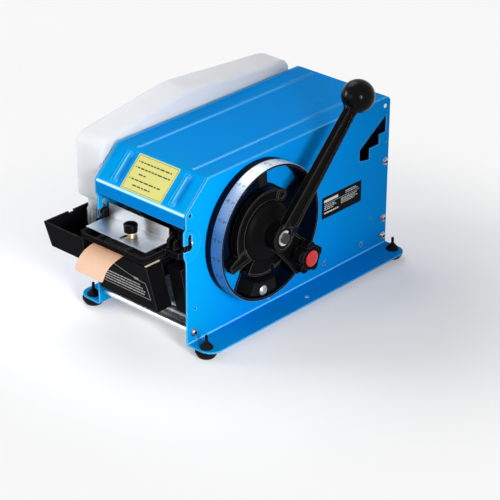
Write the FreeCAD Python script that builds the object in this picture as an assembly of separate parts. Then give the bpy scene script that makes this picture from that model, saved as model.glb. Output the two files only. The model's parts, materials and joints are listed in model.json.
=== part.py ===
import FreeCAD, Part
import math
import os

# Gummed tape dispenser, worked by hand with a lever on its right side.
# X runs across the machine with the lever at +X, Y runs along it with the tape
# leaving at -Y, and Z is up.  Z = 0 is the bench, and the origin lies under the
# middle of the body.  All lengths are in millimetres.

V = FreeCAD.Vector

# ---- clearances ----
gap = 0.3                    # between pieces that pass each other
shaft_clearance = 0.05       # radial, of a running fit
gear_backlash = 0.25         # along the pitch circle

# ---- body sheet metal ----
body_width = 180.0           # over the two side plates
plate_length = 440.0
plate_sheet = 2.0
plate_top = 258.0
foot_height = 12.0           # bench to the underside of the flanges
flange_width = 46.0
flange_corner = 20.0
bend_radius = 2.5
chamfer_run = 45.0           # slanted front of the plates, along Y
chamfer_drop = 42.0          # and down
rear_corner = 8.0
panel_sheet = 1.5            # rear panel, pan, table and brackets
screw_shank = 2.4            # radii of the plate screws
screw_head = 4.8
screw_head_height = 3.0
rear_screw_heights = (27.0, 57.0, 153.0)
rear_screw_setback = 8.0     # from the rear edge of the plates
bench_hole_radius = 3.5
bench_hole_out = 31.0        # from the plate to the middle of the bench hole
bench_hole_y = 1.5
press_radius = 25.0          # mouth and floor of the dish pressed in round the notch
press_floor_radius = 18.8
press_depth = 4.0

# ---- feet ----
foot_out = 25.0              # from the plate to the middle of a foot
foot_inset = 13.0            # from the plate end to the middle of a foot
foot_radius = 16.5
foot_tread_radius = 12.0
foot_neck = 4.9
foot_cone_radius = 9.6
foot_cone_height = 11.0
foot_tail_radius = 2.2
foot_tail_height = 9.0

# ---- cover ----
cover_sheet = 1.5
cover_bend = 2.0             # inside radius of the folds
cover_side_gap = 0.5
cover_drop = 0.5             # cover top below the plate tops
cover_lip = 22.0             # height of the front lip
cover_side_return = 10.0
cover_rear_fold = 9.0
hinge_setback = 13.0         # from the rear edge of the plates
hinge_drop = 12.0            # and below their top
hinge_pin_radius = 2.5
rib_spread = 54.0            # long ribs, from the middle
rib_width = 5.0
rib_height = 1.4
slant_rib_spread = 57.0
slant_rib_width = 11.0
slant_rib_height = 2.2

# ---- lever and dial ----
shaft_setback = 140.0        # from the front edge of the plates
shaft_z = 150.0
shaft_radius = 8.0
sleeve_radius = 13.0
dial_radius = 103.0
dial_depth = 31.3            # from the plate to the front edge of the dial
dial_wall = 3.0
scale_width = 19.6
scale_sheet = 0.6
web_thickness = 3.0
web_fillet = 2.0
web_windows = ((28, 76), (108, 124), (212, 243))
bumper_depth = 28.0          # from the plate to the faces of the bumpers
bumper_height = 20.1
bumper_angles = (98.5, 263.5)
bumper_half_angles = (5.5, 16.5)
dome_radius = 46.0
dome_face = 30.0             # from the plate to the face of the dome
stop_flange_angles = (57.0, 203.0)
stop_flange_inset = 15.0     # inside the bumpers
stop_boss_radius = 9.0
skirt_angles = (236.0, 300.0)
skirt_inset = 9.0
pointer_inset = 16.4         # inside the rim of the dial
pointer_angle = 205.0
pointer_widths = (7.0, 5.0, 9.0, 18.0)   # root and tip on one side, tip and root on the other
stop_arm_thickness = 5.0
lever_length = 230.0
lever_angle = 46.5           # above the rear horizontal, at rest
lever_thickness = 10.0
lever_root_radius = 15.0
lever_tip_radius = 9.5
boss_radius = 21.0
boss_out = (38.5, 57.0)      # from the plate to the faces of the boss
ball_radius = 24.5
star_inset = 23.4            # inside the rim of the dial
star_angle = -43.0
star_radius = 25.0
star_lobe_radius = 8.0
star_neck = 9.0
star_height = 14.0
star_lobes = 5
cap_radius = 12.4

# ---- gears ----
gear_module = 2.0
pressure_angle = 25.0
main_teeth = 48
idler_pinion_teeth = 12
idler_wheel_teeth = 30
feed_teeth = 12
gear_width = 8.0
idler_direction = 50.0       # below the forward horizontal, seen from the main shaft
gear_plate_gap = 25.0        # from the tape to the gear plate
gear_plate_sheet = 3.0
main_gear_inset = 30.0       # from the right plate to the inner faces of the gears
feed_gear_inset = 46.0
idler_axle_radius = 5.0
spacer_radius = 6.0

# ---- tape path ----
tape_level = 141.3           # underside of the flat tape
tape_thickness = 0.4
tape_width = 60.0
tape_inset = 112.0           # from the right plate to the middle of the tape
tape_curl_radius = 43.5      # of the free end
tape_curl_reach = 41.0
tape_curl_drop = 28.0
feed_radius = 25.5
feed_wheel_width = 46.0
feed_shaft_radius = 6.0
pressure_roller_radius = 12.0
pressure_pivot_radius = 4.0
roll_radius = 80.0
roll_core_radius = 22.0
roll_bore_radius = 19.0
roll_setback = 102.0         # from the rear edge of the plates
basket_roller_radius = 10.0
basket_axle_radius = 4.0
basket_spacing = 86.0
basket_z = 30.0

# ---- water tank and brushes ----
tank_rim = 148.0
tank_low_rim = 138.5
tank_floor = 108.0
tank_wall = 2.5
tank_reach = 52.0            # in front of the plates
tank_out = 54.0              # to the left of them
tank_outer_draft = 7.5
tank_inner_draft = 1.5
guard_insets = (29.0, 37.0)  # from the left and right plates
guard_top = 140.0
guard_bottom = 60.0
guard_reach = 42.0
guard_lean = 21.0            # how far the bottom of the guard sits back
guard_depth = 29.0
moulding_wall = 2.5
side_guard_reach = 9.0
side_guard_top = 134.0
side_guard_bottom = 56.0
side_guard_lean = 17.0
side_guard_depth = 26.0
frame_insets = (18.0, 33.0)  # brush cover's frame, from the left and right plates
frame_reach = 51.0
frame_bar = 3.0
cover_frame_bottom = 149.0
cover_frame_height = 8.0
peg_setback = 10.5
peg_z = 162.5
peg_radius = 5.0
notch_rise = 19.5            # from the pegs to the top of the notch
plate_spring_width = 119.5   # width of the steel pressure plate
plate_spring_length = 47.0
plate_spring_rise = 21.5
knob_reach = 11.0
knob_radius = 10.5
knob_height = 11.0

# ---- bottle ----
bottle_width = 55.0
bottle_insets = (17.0, 20.0)  # from the front and rear edges of the plates
bottle_bottom = 162.0
bottle_shelf = 172.0         # underside of its rear part
bottle_tops = (263.0, 290.0, 272.0)
bottle_corner = 16.0
bottle_wall = 2.5
bottle_out = 3.5             # from the left plate to the bottle
neck_radius = 11.5
cap_setback = 30.0
cap_outer_radius = 13.7
cap_height = 26.0

# ---- derived places ----
half = body_width / 2
inner = half - plate_sheet
front = -plate_length / 2
rear = plate_length / 2
flange_top = foot_height + plate_sheet
dial_out = half + dial_depth
feed_z = tape_level - gap - feed_radius
shaft_y = front + shaft_setback
hinge_y, hinge_z = rear - hinge_setback, plate_top - hinge_drop
roll_y = rear - roll_setback
peg_y = front + peg_setback
press_y, press_z = front + 4, peg_z + 6.2
tape_middle = half - tape_inset
tape_left = tape_middle - tape_width / 2
tape_right = tape_middle + tape_width / 2
gear_plate_x = tape_right + gear_plate_gap
main_gear_x = half - main_gear_inset
feed_gear_x = half - feed_gear_inset
guard_left, guard_right = -half + guard_insets[0], half - guard_insets[1]
guard_front = front - guard_reach
tank_front = front - tank_reach
tank_left = -half - tank_out
cover_frame_left, cover_frame_right = -half + frame_insets[0], half - frame_insets[1]
cover_frame_front = front - frame_reach
knob_x, knob_y = (cover_frame_left + cover_frame_right) / 2, front - knob_reach
bottle_front, bottle_back = front + bottle_insets[0], rear - bottle_insets[1]
cap_y = front + cap_setback


def guard_face(z):
    """Where the leaning front of the wide guard stands at a height."""
    return guard_front + guard_lean * (guard_top - z) / (guard_top - guard_bottom)


def unit(a, b):
    length = math.hypot(b[0] - a[0], b[1] - a[1])
    return (b[0] - a[0]) / length, (b[1] - a[1]) / length


def turn(y, z, radius, degrees):
    """A point at a radius and an angle from +Y towards +Z round (y, z)."""
    angle = math.radians(degrees)
    return y + radius * math.cos(angle), z + radius * math.sin(angle)


def lift(plane, at, a, b):
    if plane == "yz":
        return V(at, a, b)
    if plane == "xz":
        return V(a, at, b)
    return V(a, b, at)


def face(points, plane, at, radius=0.0):
    """A face on a plane, from corners (a, b) or (a, b, corner radius)."""
    edges, starts, ends = [], [], []
    count = len(points)
    for i, point in enumerate(points):
        r = point[2] if len(point) > 2 else radius
        here = point[:2]
        before, after = points[i - 1][:2], points[(i + 1) % count][:2]
        u, w = unit(here, before), unit(here, after)
        spread = math.acos(max(-1.0, min(1.0, u[0] * w[0] + u[1] * w[1])))
        if r <= 0 or spread > math.pi - 1e-6:
            starts.append(here)
            ends.append((here, None))
            continue
        reach = r / math.tan(spread / 2)
        middle = (u[0] + w[0], u[1] + w[1])
        size = math.hypot(*middle)
        inward = r / math.sin(spread / 2) - r
        start = (here[0] + u[0] * reach, here[1] + u[1] * reach)
        end = (here[0] + w[0] * reach, here[1] + w[1] * reach)
        mid = (here[0] + middle[0] / size * inward, here[1] + middle[1] / size * inward)
        starts.append(start)
        ends.append((end, mid))
    for i in range(count):
        end, mid = ends[i]
        if mid is not None:
            arc = Part.Arc(lift(plane, at, *starts[i]), lift(plane, at, *mid), lift(plane, at, *end))
            edges.append(arc.toShape())
        after = starts[(i + 1) % count]
        if math.hypot(after[0] - end[0], after[1] - end[1]) > 1e-6:
            edges.append(Part.makeLine(lift(plane, at, *end), lift(plane, at, *after)))
    return Part.Face(Part.Wire(edges))


def prism(points, plane, low, high, radius=0.0):
    """Corners on a plane, drawn out along that plane's own axis."""
    along = {"yz": V(high - low, 0, 0), "xz": V(0, high - low, 0), "xy": V(0, 0, high - low)}
    solid = face(points, plane, low, radius).extrude(along[plane])
    return solid


def box(x0, x1, y0, y1, z0, z1):
    return Part.makeBox(x1 - x0, y1 - y0, z1 - z0, V(x0, y0, z0))


def rod(axis, a, b, radius, low, high):
    """A cylinder along X through (y, z), along Y through (x, z) or along Z through (x, y)."""
    start = {"x": V(low, a, b), "y": V(a, low, b), "z": V(a, b, low)}[axis]
    along = {"x": V(1, 0, 0), "y": V(0, 1, 0), "z": V(0, 0, 1)}[axis]
    return Part.makeCylinder(radius, high - low, start, along)


def tube(axis, a, b, outer, bore, low, high):
    return rod(axis, a, b, outer, low, high).cut(rod(axis, a, b, bore, low - 1, high + 1))


def turned_x(y, z, profile):
    """Revolve (x, radius) corners, with an optional corner radius, about the X line at (y, z)."""
    points = [(p[0], z + p[1]) + tuple(p[2:]) for p in profile]
    return face(points, "xz", y).revolve(V(0, y, z), V(1, 0, 0), 360)


def turned_z(x, y, profile):
    """Revolve (radius, z) corners, with an optional corner radius, about the Z line at (x, y)."""
    points = [(x + p[0], p[1]) + tuple(p[2:]) for p in profile]
    return face(points, "xz", y).revolve(V(x, y, 0), V(0, 0, 1), 360)


def sector(y, z, inside, outside, start, end, low, high):
    """Part of a flat ring about the X line at (y, z), between two angles."""
    middle = (start + end) / 2
    out = [V(low, *turn(y, z, outside, angle)) for angle in (start, middle, end)]
    back = [V(low, *turn(y, z, inside, angle)) for angle in (end, middle, start)]
    edges = [Part.Arc(*out).toShape(), Part.makeLine(out[2], back[0])]
    edges += [Part.Arc(*back).toShape(), Part.makeLine(back[2], out[0])]
    return Part.Face(Part.Wire(edges)).extrude(V(high - low, 0, 0))


def ribbon(path, thickness, bend=0.0):
    """Corners of a bent strip: a path and its mitred offset, to the left if thickness > 0."""
    near, far = [], []
    for i, here in enumerate(path):
        before = path[i - 1] if i > 0 else None
        after = path[i + 1] if i < len(path) - 1 else None
        d1 = unit(before, here) if before else unit(here, after)
        d2 = unit(here, after) if after else d1
        n1, n2 = (-d1[1], d1[0]), (-d2[1], d2[0])
        share = 1 + n1[0] * n2[0] + n1[1] * n2[1]
        shift = ((n1[0] + n2[0]) / share * thickness, (n1[1] + n2[1]) / share * thickness)
        left_turn = d1[0] * d2[1] - d1[1] * d2[0] > 0
        offset_is_inside = left_turn == (thickness > 0)
        end = before is None or after is None or bend == 0
        inside, outside = (0, 0) if end else (bend, bend + abs(thickness))
        near.append((here[0], here[1], outside if offset_is_inside else inside))
        far.append((here[0] + shift[0], here[1] + shift[1], inside if offset_is_inside else outside))
    return near + far[::-1]


def inset(points, amounts):
    """Move each edge of an anticlockwise outline inwards, by one amount or one per edge."""
    count = len(points)
    if not isinstance(amounts, (list, tuple)):
        amounts = [amounts] * count
    lines = []
    for i in range(count):
        a, b = points[i], points[(i + 1) % count]
        d = unit(a, b)
        lines.append((a[0] - d[1] * amounts[i], a[1] + d[0] * amounts[i], d[0], d[1]))
    result = []
    for i in range(count):
        x1, y1, dx1, dy1 = lines[i - 1]
        x2, y2, dx2, dy2 = lines[i]
        t = ((x2 - x1) * dy2 - (y2 - y1) * dx2) / (dx1 * dy2 - dy1 * dx2)
        result.append((x1 + dx1 * t, y1 + dy1 * t))
    return result


def loft(lower, z0, upper, z1):
    """A solid between two outlines with as many corners, on two levels."""
    wires = []
    for points, z in ((lower, z0), (upper, z1)):
        corners = [V(a, b, z) for a, b in points]
        wires.append(Part.makePolygon(corners + corners[:1]))
    return Part.makeLoft(wires, True, True)


def aimed(points, y, z, angle):
    """Corners (along, across, ...) laid out from (y, z) in a direction."""
    c, s = math.cos(math.radians(angle)), math.sin(math.radians(angle))
    return [(y + p[0] * c - p[1] * s, z + p[0] * s + p[1] * c) + tuple(p[2:]) for p in points]


def mirrored(shape):
    return shape.mirror(V(0, 0, 0), V(1, 0, 0))


def joined(first, *others):
    return first.multiFuse(list(others)).removeSplitter()


def group(*solids):
    return Part.makeCompound(list(solids))


def gear(y, z, teeth, bore, low, high, tooth_at):
    """A spur gear with involute flanks and one tooth centred at the angle tooth_at."""
    slope = math.radians(pressure_angle)
    pitch = gear_module * teeth / 2
    base = pitch * math.cos(slope)
    tip = pitch + 0.8 * gear_module
    root = pitch - 1.05 * gear_module
    involute = math.tan(slope) - slope
    half_tooth = math.pi / (2 * teeth) - gear_backlash / (2 * pitch)
    flank = []
    for radius in (root, max(root, base) + 0.2, pitch, tip):
        lean = math.acos(min(1.0, base / radius))
        flank.append((radius, half_tooth + involute - (math.tan(lean) - lean)))
    outline = []
    for i in range(teeth):
        centre = math.radians(tooth_at) + 2 * math.pi * i / teeth
        sides = [(r, centre - a) for r, a in flank] + [(r, centre + a) for r, a in flank[::-1]]
        outline += [(y + r * math.cos(a), z + r * math.sin(a)) for r, a in sides]
    return prism(outline, "yz", low, high).cut(rod("x", y, z, bore, low - 1, high + 1))


parts = {}

# ---- gear centres ----
main_pitch = gear_module * main_teeth / 2
pinion_pitch = gear_module * idler_pinion_teeth / 2
wheel_pitch = gear_module * idler_wheel_teeth / 2
feed_pitch = gear_module * feed_teeth / 2
idler_at = 180 + idler_direction
idler_y, idler_z = turn(shaft_y, shaft_z, main_pitch + pinion_pitch, idler_at)
feed_rise = feed_z - idler_z
feed_y = idler_y - math.sqrt((wheel_pitch + feed_pitch) ** 2 - feed_rise ** 2)
feed_at = math.degrees(math.atan2(feed_z - idler_z, feed_y - idler_y))

# ---- side plates ----
foot_x = half + foot_out
foot_places = [(sx * foot_x, sy * (rear - foot_inset)) for sx in (-1, 1) for sy in (-1, 1)]
rear_screw_y = rear - rear_screw_setback
tie_rod_y, tie_rod_z, tie_rod_radius = front + 14, 29.0, 4.5
crossmember_y, crossmember_low = front + 11, 72.0
pressure_pivot_y, pressure_pivot_z = feed_y + 37, 168.0
basket_places = [roll_y - basket_spacing / 2, roll_y + basket_spacing / 2]
roll_rise = roll_radius + gap + basket_roller_radius
roll_z = basket_z + math.sqrt(roll_rise ** 2 - (basket_spacing / 2) ** 2)


def side_plate():
    """The right plate before its own openings: a sheet with a flange folded outwards."""
    path = [(half, plate_top), (half, flange_top), (half + flange_width, flange_top)]
    sheet = prism(ribbon(path, -plate_sheet, bend_radius), "xz", front, rear)
    side = [(front, 0), (front, plate_top - chamfer_drop), (front + chamfer_run, plate_top),
            (rear, plate_top, rear_corner), (rear, 0)]
    plan = [(0, front), (half + flange_width, front, flange_corner),
            (half + flange_width, rear, flange_corner), (0, rear)]
    sheet = sheet.common(prism(side, "yz", 0, 2 * half))
    sheet = sheet.common(prism(plan, "xy", 0, plate_top))
    sheet = sheet.cut(box(inner - 1, half + 4, front + 18, front + 20, 0, 25))
    for x, y in foot_places[2:]:
        sheet = sheet.cut(rod("z", x, y, foot_neck + 0.1, 0, 20))
    sheet = sheet.cut(rod("z", half + bench_hole_out, bench_hole_y, bench_hole_radius, 0, 20))
    holes = [(rear_screw_y, z, screw_shank) for z in rear_screw_heights]
    holes += [(tie_rod_y, tie_rod_z, screw_shank), (hinge_y, hinge_z, hinge_pin_radius)]
    holes += [(y, basket_z, basket_axle_radius) for y in basket_places]
    for y, z, radius in holes:
        sheet = sheet.cut(rod("x", y, z, radius, inner - 1, half + 1))
    stop_tab = box(inner - 4, inner, front + 60, front + 72, 240, plate_top - 0.8 - cover_side_return)
    return notched(pressed(joined(sheet, stop_tab)))


def pressed(sheet):
    """Dish the sheet inwards round the notch, with the same thickness all over."""
    slope = (press_radius - press_floor_radius) / press_depth
    spread = plate_sheet * (math.sqrt(1 + slope ** 2) - slope)
    back = Part.makeCone(press_radius + spread, press_floor_radius + spread, press_depth,
                         V(inner, press_y, press_z), V(-1, 0, 0))
    hollow = Part.makeCone(press_radius, press_floor_radius, press_depth, V(half, press_y, press_z), V(-1, 0, 0))
    back = back.cut(box(0, half, press_y - 2 * press_radius, front, 0, plate_top))
    return joined(sheet, back).cut(hollow)


def notched(sheet):
    """Cut the notch that a peg enters from the front, with a leg that goes up from its end."""
    low, high = peg_z - peg_radius - gap, peg_z + peg_radius + gap
    end, leg = peg_y + peg_radius + gap, peg_y - 2.2
    corners = [(front - 1, low), (end, low, peg_radius), (end, peg_z + notch_rise, 3.5),
               (leg, peg_z + notch_rise, 3.5), (leg, high), (front - 1, high)]
    return sheet.cut(prism(corners, "yz", inner - press_depth - 1, half + 1))


slot_low = plate_top - 90


def stepped_slot():
    corners = [(8, 27), (8, 56), (23, 56), (23, 72), (45, 72), (45, 90), (69, 86), (69, 67)]
    return prism([(rear - a, plate_top - b) for a, b in corners], "yz", inner - 1, half + 1, 1.0)


def right_side_plate():
    sheet = side_plate()
    sheet = sheet.cut(rod("x", shaft_y, shaft_z, sleeve_radius, inner - 1, half + 1))
    sheet = sheet.cut(rod("x", idler_y, idler_z, idler_axle_radius, inner - 1, half + 1))
    sheet = sheet.cut(stepped_slot())
    for y, z, radius in ((front + 8.7, plate_top - 45, 3.3), (front + 17, 65, 2.2), (rear - 7, 185, 1.5),
                         (rear - 37, 67, 1.5), (shaft_y + 31, 20, 2)):
        sheet = sheet.cut(rod("x", y, z, radius, inner - 1, half + 1))
    return sheet


tank_rear = front + 22
reservoir_rear = front + 60


def left_side_plate():
    sheet = mirrored(side_plate())
    bay = [(front - 1, tank_floor - 10), (front - 1, tank_rim + 1), (tank_rear + 2, tank_rim + 1, 3),
           (tank_rear + 2, tank_floor - 10, 3)]
    sheet = sheet.cut(prism(bay, "yz", -half - 1, press_depth + 1 - inner))
    for y, z, radius in ((feed_y, feed_z, 9.0), (pressure_pivot_y, pressure_pivot_z, pressure_pivot_radius)):
        sheet = sheet.cut(rod("x", y, z, radius, -half - 1, -inner + 1))
    return sheet


parts["right_side_plate"] = right_side_plate()
parts["left_side_plate"] = left_side_plate()

# ---- rear panel, base pan, tie rod and crossmember ----
panel_y = rear - 2
panel_top = hinge_z - 17
pan_z = 16.0


def screw_holes(shape, places, axis="x"):
    for a, b in places:
        shape = shape.cut(rod(axis, a, b, screw_shank, -half - 1, half + 1))
    return shape


def rear_panel():
    flange = 15.0
    path = [(-inner, panel_y - flange), (-inner, panel_y), (inner, panel_y), (inner, panel_y - flange)]
    sheet = prism(ribbon(path, -panel_sheet, 1.0), "xy", pan_z + panel_sheet, panel_top)
    beside_slot = box(inner - 3, inner + 1, panel_y - flange - 1, panel_y - 3, slot_low, panel_top + 1)
    sheet = sheet.cut(beside_slot)
    return screw_holes(sheet, [(rear_screw_y, z) for z in rear_screw_heights])


def base_pan():
    """A floor with pressed ribs behind the tie rod and its sides folded up."""
    path = [(tie_rod_y + 7, pan_z + 12), (tie_rod_y + 7, pan_z + 5), (tie_rod_y + 15, pan_z + 5)]
    path += [(tie_rod_y + 17, pan_z)]
    for i in range(3):
        start = tie_rod_y + 23 + 14 * i
        path += [(start, pan_z), (start + 2, pan_z + 3), (start + 6, pan_z + 3), (start + 8, pan_z)]
    path += [(panel_y - 17, pan_z)]
    floor = prism(ribbon(path, panel_sheet), "yz", -inner, inner)
    side_low, side_high = panel_y - 20, tie_rod_y + 75
    wall = box(inner - panel_sheet, inner, side_high, side_low, pan_z, pan_z + 9)
    return joined(floor, wall, mirrored(wall))


def front_crossmember():
    """The bent shelf under the water tank, welded to both plates."""
    shelf_top = tank_floor
    path = [(-inner, crossmember_low), (-inner, shelf_top), (inner, shelf_top), (inner, crossmember_low)]
    ends = prism(ribbon(path, -panel_sheet, 1.0), "xz", crossmember_y, tank_rear - 2)
    shelf_front = guard_face(shelf_top - panel_sheet) + moulding_wall + gap
    shelf = box(guard_left + 6, guard_right - 6, shelf_front, crossmember_y, shelf_top - panel_sheet, shelf_top)
    return joined(ends, shelf)


parts["rear_panel"] = rear_panel()
parts["base_pan"] = base_pan()
parts["front_tie_rod"] = tube("x", tie_rod_y, tie_rod_z, tie_rod_radius, screw_shank, -inner, inner)
parts["front_crossmember"] = front_crossmember()

# ---- rubber feet ----


def rubber_foot(x, y):
    """A pad under the flange, with the cone and tail that are pulled up through its hole."""
    cone_top = flange_top + foot_cone_height
    profile = [(0, 0), (foot_tread_radius, 0, 4), (foot_radius, foot_height - 4, 2), (foot_radius, foot_height, 1),
               (foot_neck, foot_height), (foot_neck, flange_top),
               (foot_cone_radius, flange_top), (foot_cone_radius, flange_top + 2, 1),
               (foot_tail_radius, cone_top, 2), (foot_tail_radius, cone_top + foot_tail_height, 1),
               (0, cone_top + foot_tail_height)]
    return turned_z(x, y, profile)


parts["rubber_feet"] = group(*[rubber_foot(x, y) for x, y in foot_places])

# ---- cover ----
cover_top = plate_top - cover_drop
cover_half = inner - cover_side_gap


def top_cover():
    """A folded lid with side returns, hinge ears, two long ribs and two ribs on the slant."""
    path = [(front, plate_top - chamfer_drop - cover_lip), (front, plate_top - chamfer_drop - cover_drop),
            (front + chamfer_run, cover_top), (rear - 1.5, cover_top),
            (rear - 1.5, cover_top - cover_rear_fold)]
    skin = prism(ribbon(path, -cover_sheet, cover_bend), "yz", -cover_half, cover_half)
    returns = prism(ribbon(path[1:4], -cover_side_return), "yz", cover_half - cover_sheet, cover_half)
    outline = [p + (cover_bend + cover_sheet,) for p in path[1:4]] + [(path[3][0], 0), (front, 0)]
    returns = returns.common(prism(outline, "yz", 0, half))
    ear = rod("x", hinge_y, hinge_z, 9.0, cover_half - cover_sheet, cover_half)
    side = joined(returns, ear)
    ribs = []
    for x in (-rib_spread, rib_spread):
        section = [(x - rib_width / 2, cover_top), (x - rib_width / 2 + 1, cover_top + rib_height),
                   (x + rib_width / 2 - 1, cover_top + rib_height), (x + rib_width / 2, cover_top)]
        ribs.append(prism(section, "xz", front + chamfer_run + 8, rear - 14))
    slope = unit((front, path[1][1]), path[2])
    normal = (-slope[1], slope[0])
    run = math.hypot(chamfer_run, chamfer_drop)
    for x in (-slant_rib_spread, slant_rib_spread):
        outline = []
        for along, out in ((6, 0), (10, slant_rib_height), (run - 10, slant_rib_height), (run - 6, 0)):
            outline.append((front + slope[0] * along + normal[0] * out,
                            path[1][1] + slope[1] * along + normal[1] * out))
        half_rib = slant_rib_width / 2
        rib = prism(outline, "yz", x - half_rib, x + half_rib)
        crest = [e for e in rib.Edges if abs(e.BoundBox.XLength) < 0.01 and e.Length > run - 25]
        crest = [e for e in crest if (e.CenterOfMass - V(x, front, path[1][1])).dot(V(0, *normal)) > 1]
        ribs.append(rib.makeChamfer(slant_rib_height - 0.6, crest))
    lid = joined(skin, side, mirrored(side), *ribs)
    bore = hinge_pin_radius + shaft_clearance
    return lid.cut(rod("x", hinge_y, hinge_z, bore, -half, half))


def hinge_pin():
    shank = rod("x", hinge_y, hinge_z, hinge_pin_radius, cover_half - cover_sheet - 1.5, half)
    return joined(shank, rod("x", hinge_y, hinge_z, hinge_pin_radius + 0.8, half, half + 1))


parts["top_cover"] = top_cover()
parts["cover_hinge_pins"] = group(hinge_pin(), mirrored(hinge_pin()))

# ---- dial on the right plate ----
bumper_out = half + bumper_depth
dial_inside = dial_radius - scale_sheet - dial_wall
bumper_outside = dial_inside - web_fillet - gap
bumper_inside = bumper_outside - bumper_height


def dial_drum():
    """A dished ring with a flat web that has two windows and a hole for the sleeve."""
    rim_back = dial_radius
    band_seat = dial_radius - scale_sheet
    inside = dial_inside
    scale_back = dial_out - scale_width
    profile = [(half, 28.0), (half, rim_back, 1.0), (scale_back, rim_back), (scale_back, band_seat),
               (dial_out, band_seat), (dial_out, inside), (half + web_thickness, inside, web_fillet),
               (half + web_thickness, 28.0)]
    drum = turned_x(shaft_y, shaft_z, profile)
    for start, end in web_windows:
        drum = drum.cut(sector(shaft_y, shaft_z, bumper_inside - 11, inside - web_fillet, start, end, half - 1, half + 4))
    return drum


def stop_bumpers():
    blocks = []
    for angle, spread in zip(bumper_angles, bumper_half_angles):
        block = sector(shaft_y, shaft_z, bumper_inside, bumper_outside, angle - spread, angle + spread,
                       half + web_thickness, bumper_out)
        edges = [e for e in block.Edges if abs(e.BoundBox.XMin - bumper_out) < 0.01]
        blocks.append(block.makeChamfer(1.2, edges))
    return group(*blocks)


parts["dial_drum"] = dial_drum()
band = tube("x", shaft_y, shaft_z, dial_radius, dial_radius - scale_sheet, dial_out - scale_width, dial_out)
parts["dial_scale_band"] = band
parts["stop_bumpers"] = stop_bumpers()

# ---- sleeve, bushes and main shaft ----
sleeve_end = half + 36.0
flange_face = half + 4.0


def hub_sleeve():
    """The fixed sleeve that carries the shaft inside and the stop casting outside."""
    profile = [(inner - 4, shaft_radius + shaft_clearance), (inner - 4, sleeve_radius + 3),
               (inner, sleeve_radius + 3), (inner, sleeve_radius), (half, sleeve_radius),
               (half, 24.0), (flange_face, 24.0), (flange_face, sleeve_radius),
               (sleeve_end, sleeve_radius), (sleeve_end, shaft_radius + shaft_clearance)]
    return turned_x(shaft_y, shaft_z, profile)


def flanged_bush(y, z, bore, outer, low, high, flange_low):
    body = tube("x", y, z, outer, bore + shaft_clearance, low, high)
    collar = tube("x", y, z, outer + 3, bore + shaft_clearance, flange_low, flange_low + 2)
    return joined(body, collar)


bush_low = gear_plate_x
bush_high = gear_plate_x + gear_plate_sheet
parts["hub_sleeve"] = hub_sleeve()
parts["shaft_bushes"] = group(
    flanged_bush(shaft_y, shaft_z, shaft_radius, 12.0, bush_low, bush_high + 2, bush_high),
    flanged_bush(feed_y, feed_z, feed_shaft_radius, 9.0, bush_low, bush_high + 2, bush_high),
    flanged_bush(feed_y, feed_z, feed_shaft_radius, 9.0, -half, -inner + 2, -inner))

boss_low = half + boss_out[0]
boss_high = half + boss_out[1]
shaft_end = boss_high + 3
parts["drive_shaft"] = rod("x", shaft_y, shaft_z, shaft_radius, gear_plate_x - 3, shaft_end)

# ---- lever ----
lever_middle = half + 53.0
ball_y, ball_z = turn(shaft_y, shaft_z, lever_length, lever_angle)


def tapered(y, z, reach, angle, root, tip, low, high):
    """A flat arm with round ends of two sizes, from (y, z) out to a reach at an angle."""
    lean = math.degrees(math.acos((root - tip) / reach))
    end = turn(y, z, reach, angle)
    corners = [turn(y, z, root, angle + lean), turn(y, z, root, angle - lean),
               turn(end[0], end[1], tip, angle - lean), turn(end[0], end[1], tip, angle + lean)]
    web = prism(corners, "yz", low, high)
    return joined(web, rod("x", y, z, root, low, high), rod("x", end[0], end[1], tip, low, high))


def lever_arm():
    """A cast arm with raised edges on both faces and a deep boss on the shaft."""
    low, high = lever_middle - lever_thickness / 2, lever_middle + lever_thickness / 2
    reach = lever_length - ball_radius + 4
    arm = tapered(shaft_y, shaft_z, reach, lever_angle, lever_root_radius, lever_tip_radius, low, high)
    ridge, depth = 2.6, 2.8
    pocket_y, pocket_z = turn(shaft_y, shaft_z, 30, lever_angle)
    for start, end in ((low - 1, low + depth), (high - depth, high + 1)):
        arm = arm.cut(tapered(pocket_y, pocket_z, reach - 42, lever_angle,
                              lever_root_radius - ridge - 0.8, lever_tip_radius - ridge, start, end))
    boss = rod("x", shaft_y, shaft_z, boss_radius, boss_low, boss_high)
    boss = boss.makeChamfer(1.0, [boss.Edges[0], boss.Edges[2]])
    dish = rod("x", shaft_y, shaft_z, boss_radius - 4, boss_high - 1.5, boss_high + 1)
    return joined(arm, boss).cut(dish).cut(rod("x", shaft_y, shaft_z, shaft_radius, half, boss_high + 5))


def ball_knob():
    """A ball with a small collar, seated over the end of the arm."""
    ball = Part.makeSphere(ball_radius, V(lever_middle, ball_y, ball_z))
    angle = math.radians(lever_angle)
    along = V(0, math.cos(angle), math.sin(angle))
    start = V(lever_middle, ball_y, ball_z) - along * (ball_radius + 2.5)
    collar = Part.makeCone(lever_tip_radius, lever_tip_radius + 3, 6, start, along)
    return joined(ball, collar).cut(parts["lever_arm"])


def circlip(y, z, radius, low, opening):
    ring = tube("x", y, z, radius + 3.4, radius, low, low + 1.4)
    return ring.cut(sector(y, z, radius - 2, radius + 6, opening - 32, opening + 32, low - 1, low + 3))


parts["lever_arm"] = lever_arm()
parts["ball_knob"] = ball_knob()
parts["shaft_circlip"] = circlip(shaft_y, shaft_z, shaft_radius, boss_high - 1.5, 10)

# ---- stop casting with its clamp knob ----
star_y, star_z = turn(shaft_y, shaft_z, dial_inside - star_inset, star_angle)
arm_low = dial_out + 0.7
arm_high = arm_low + stop_arm_thickness
star_base = arm_high + star_neck
stud_radius = 4.0
stop_flange_low = half + 18.0
stop_flange_high = stop_flange_low + 4.0


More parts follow.
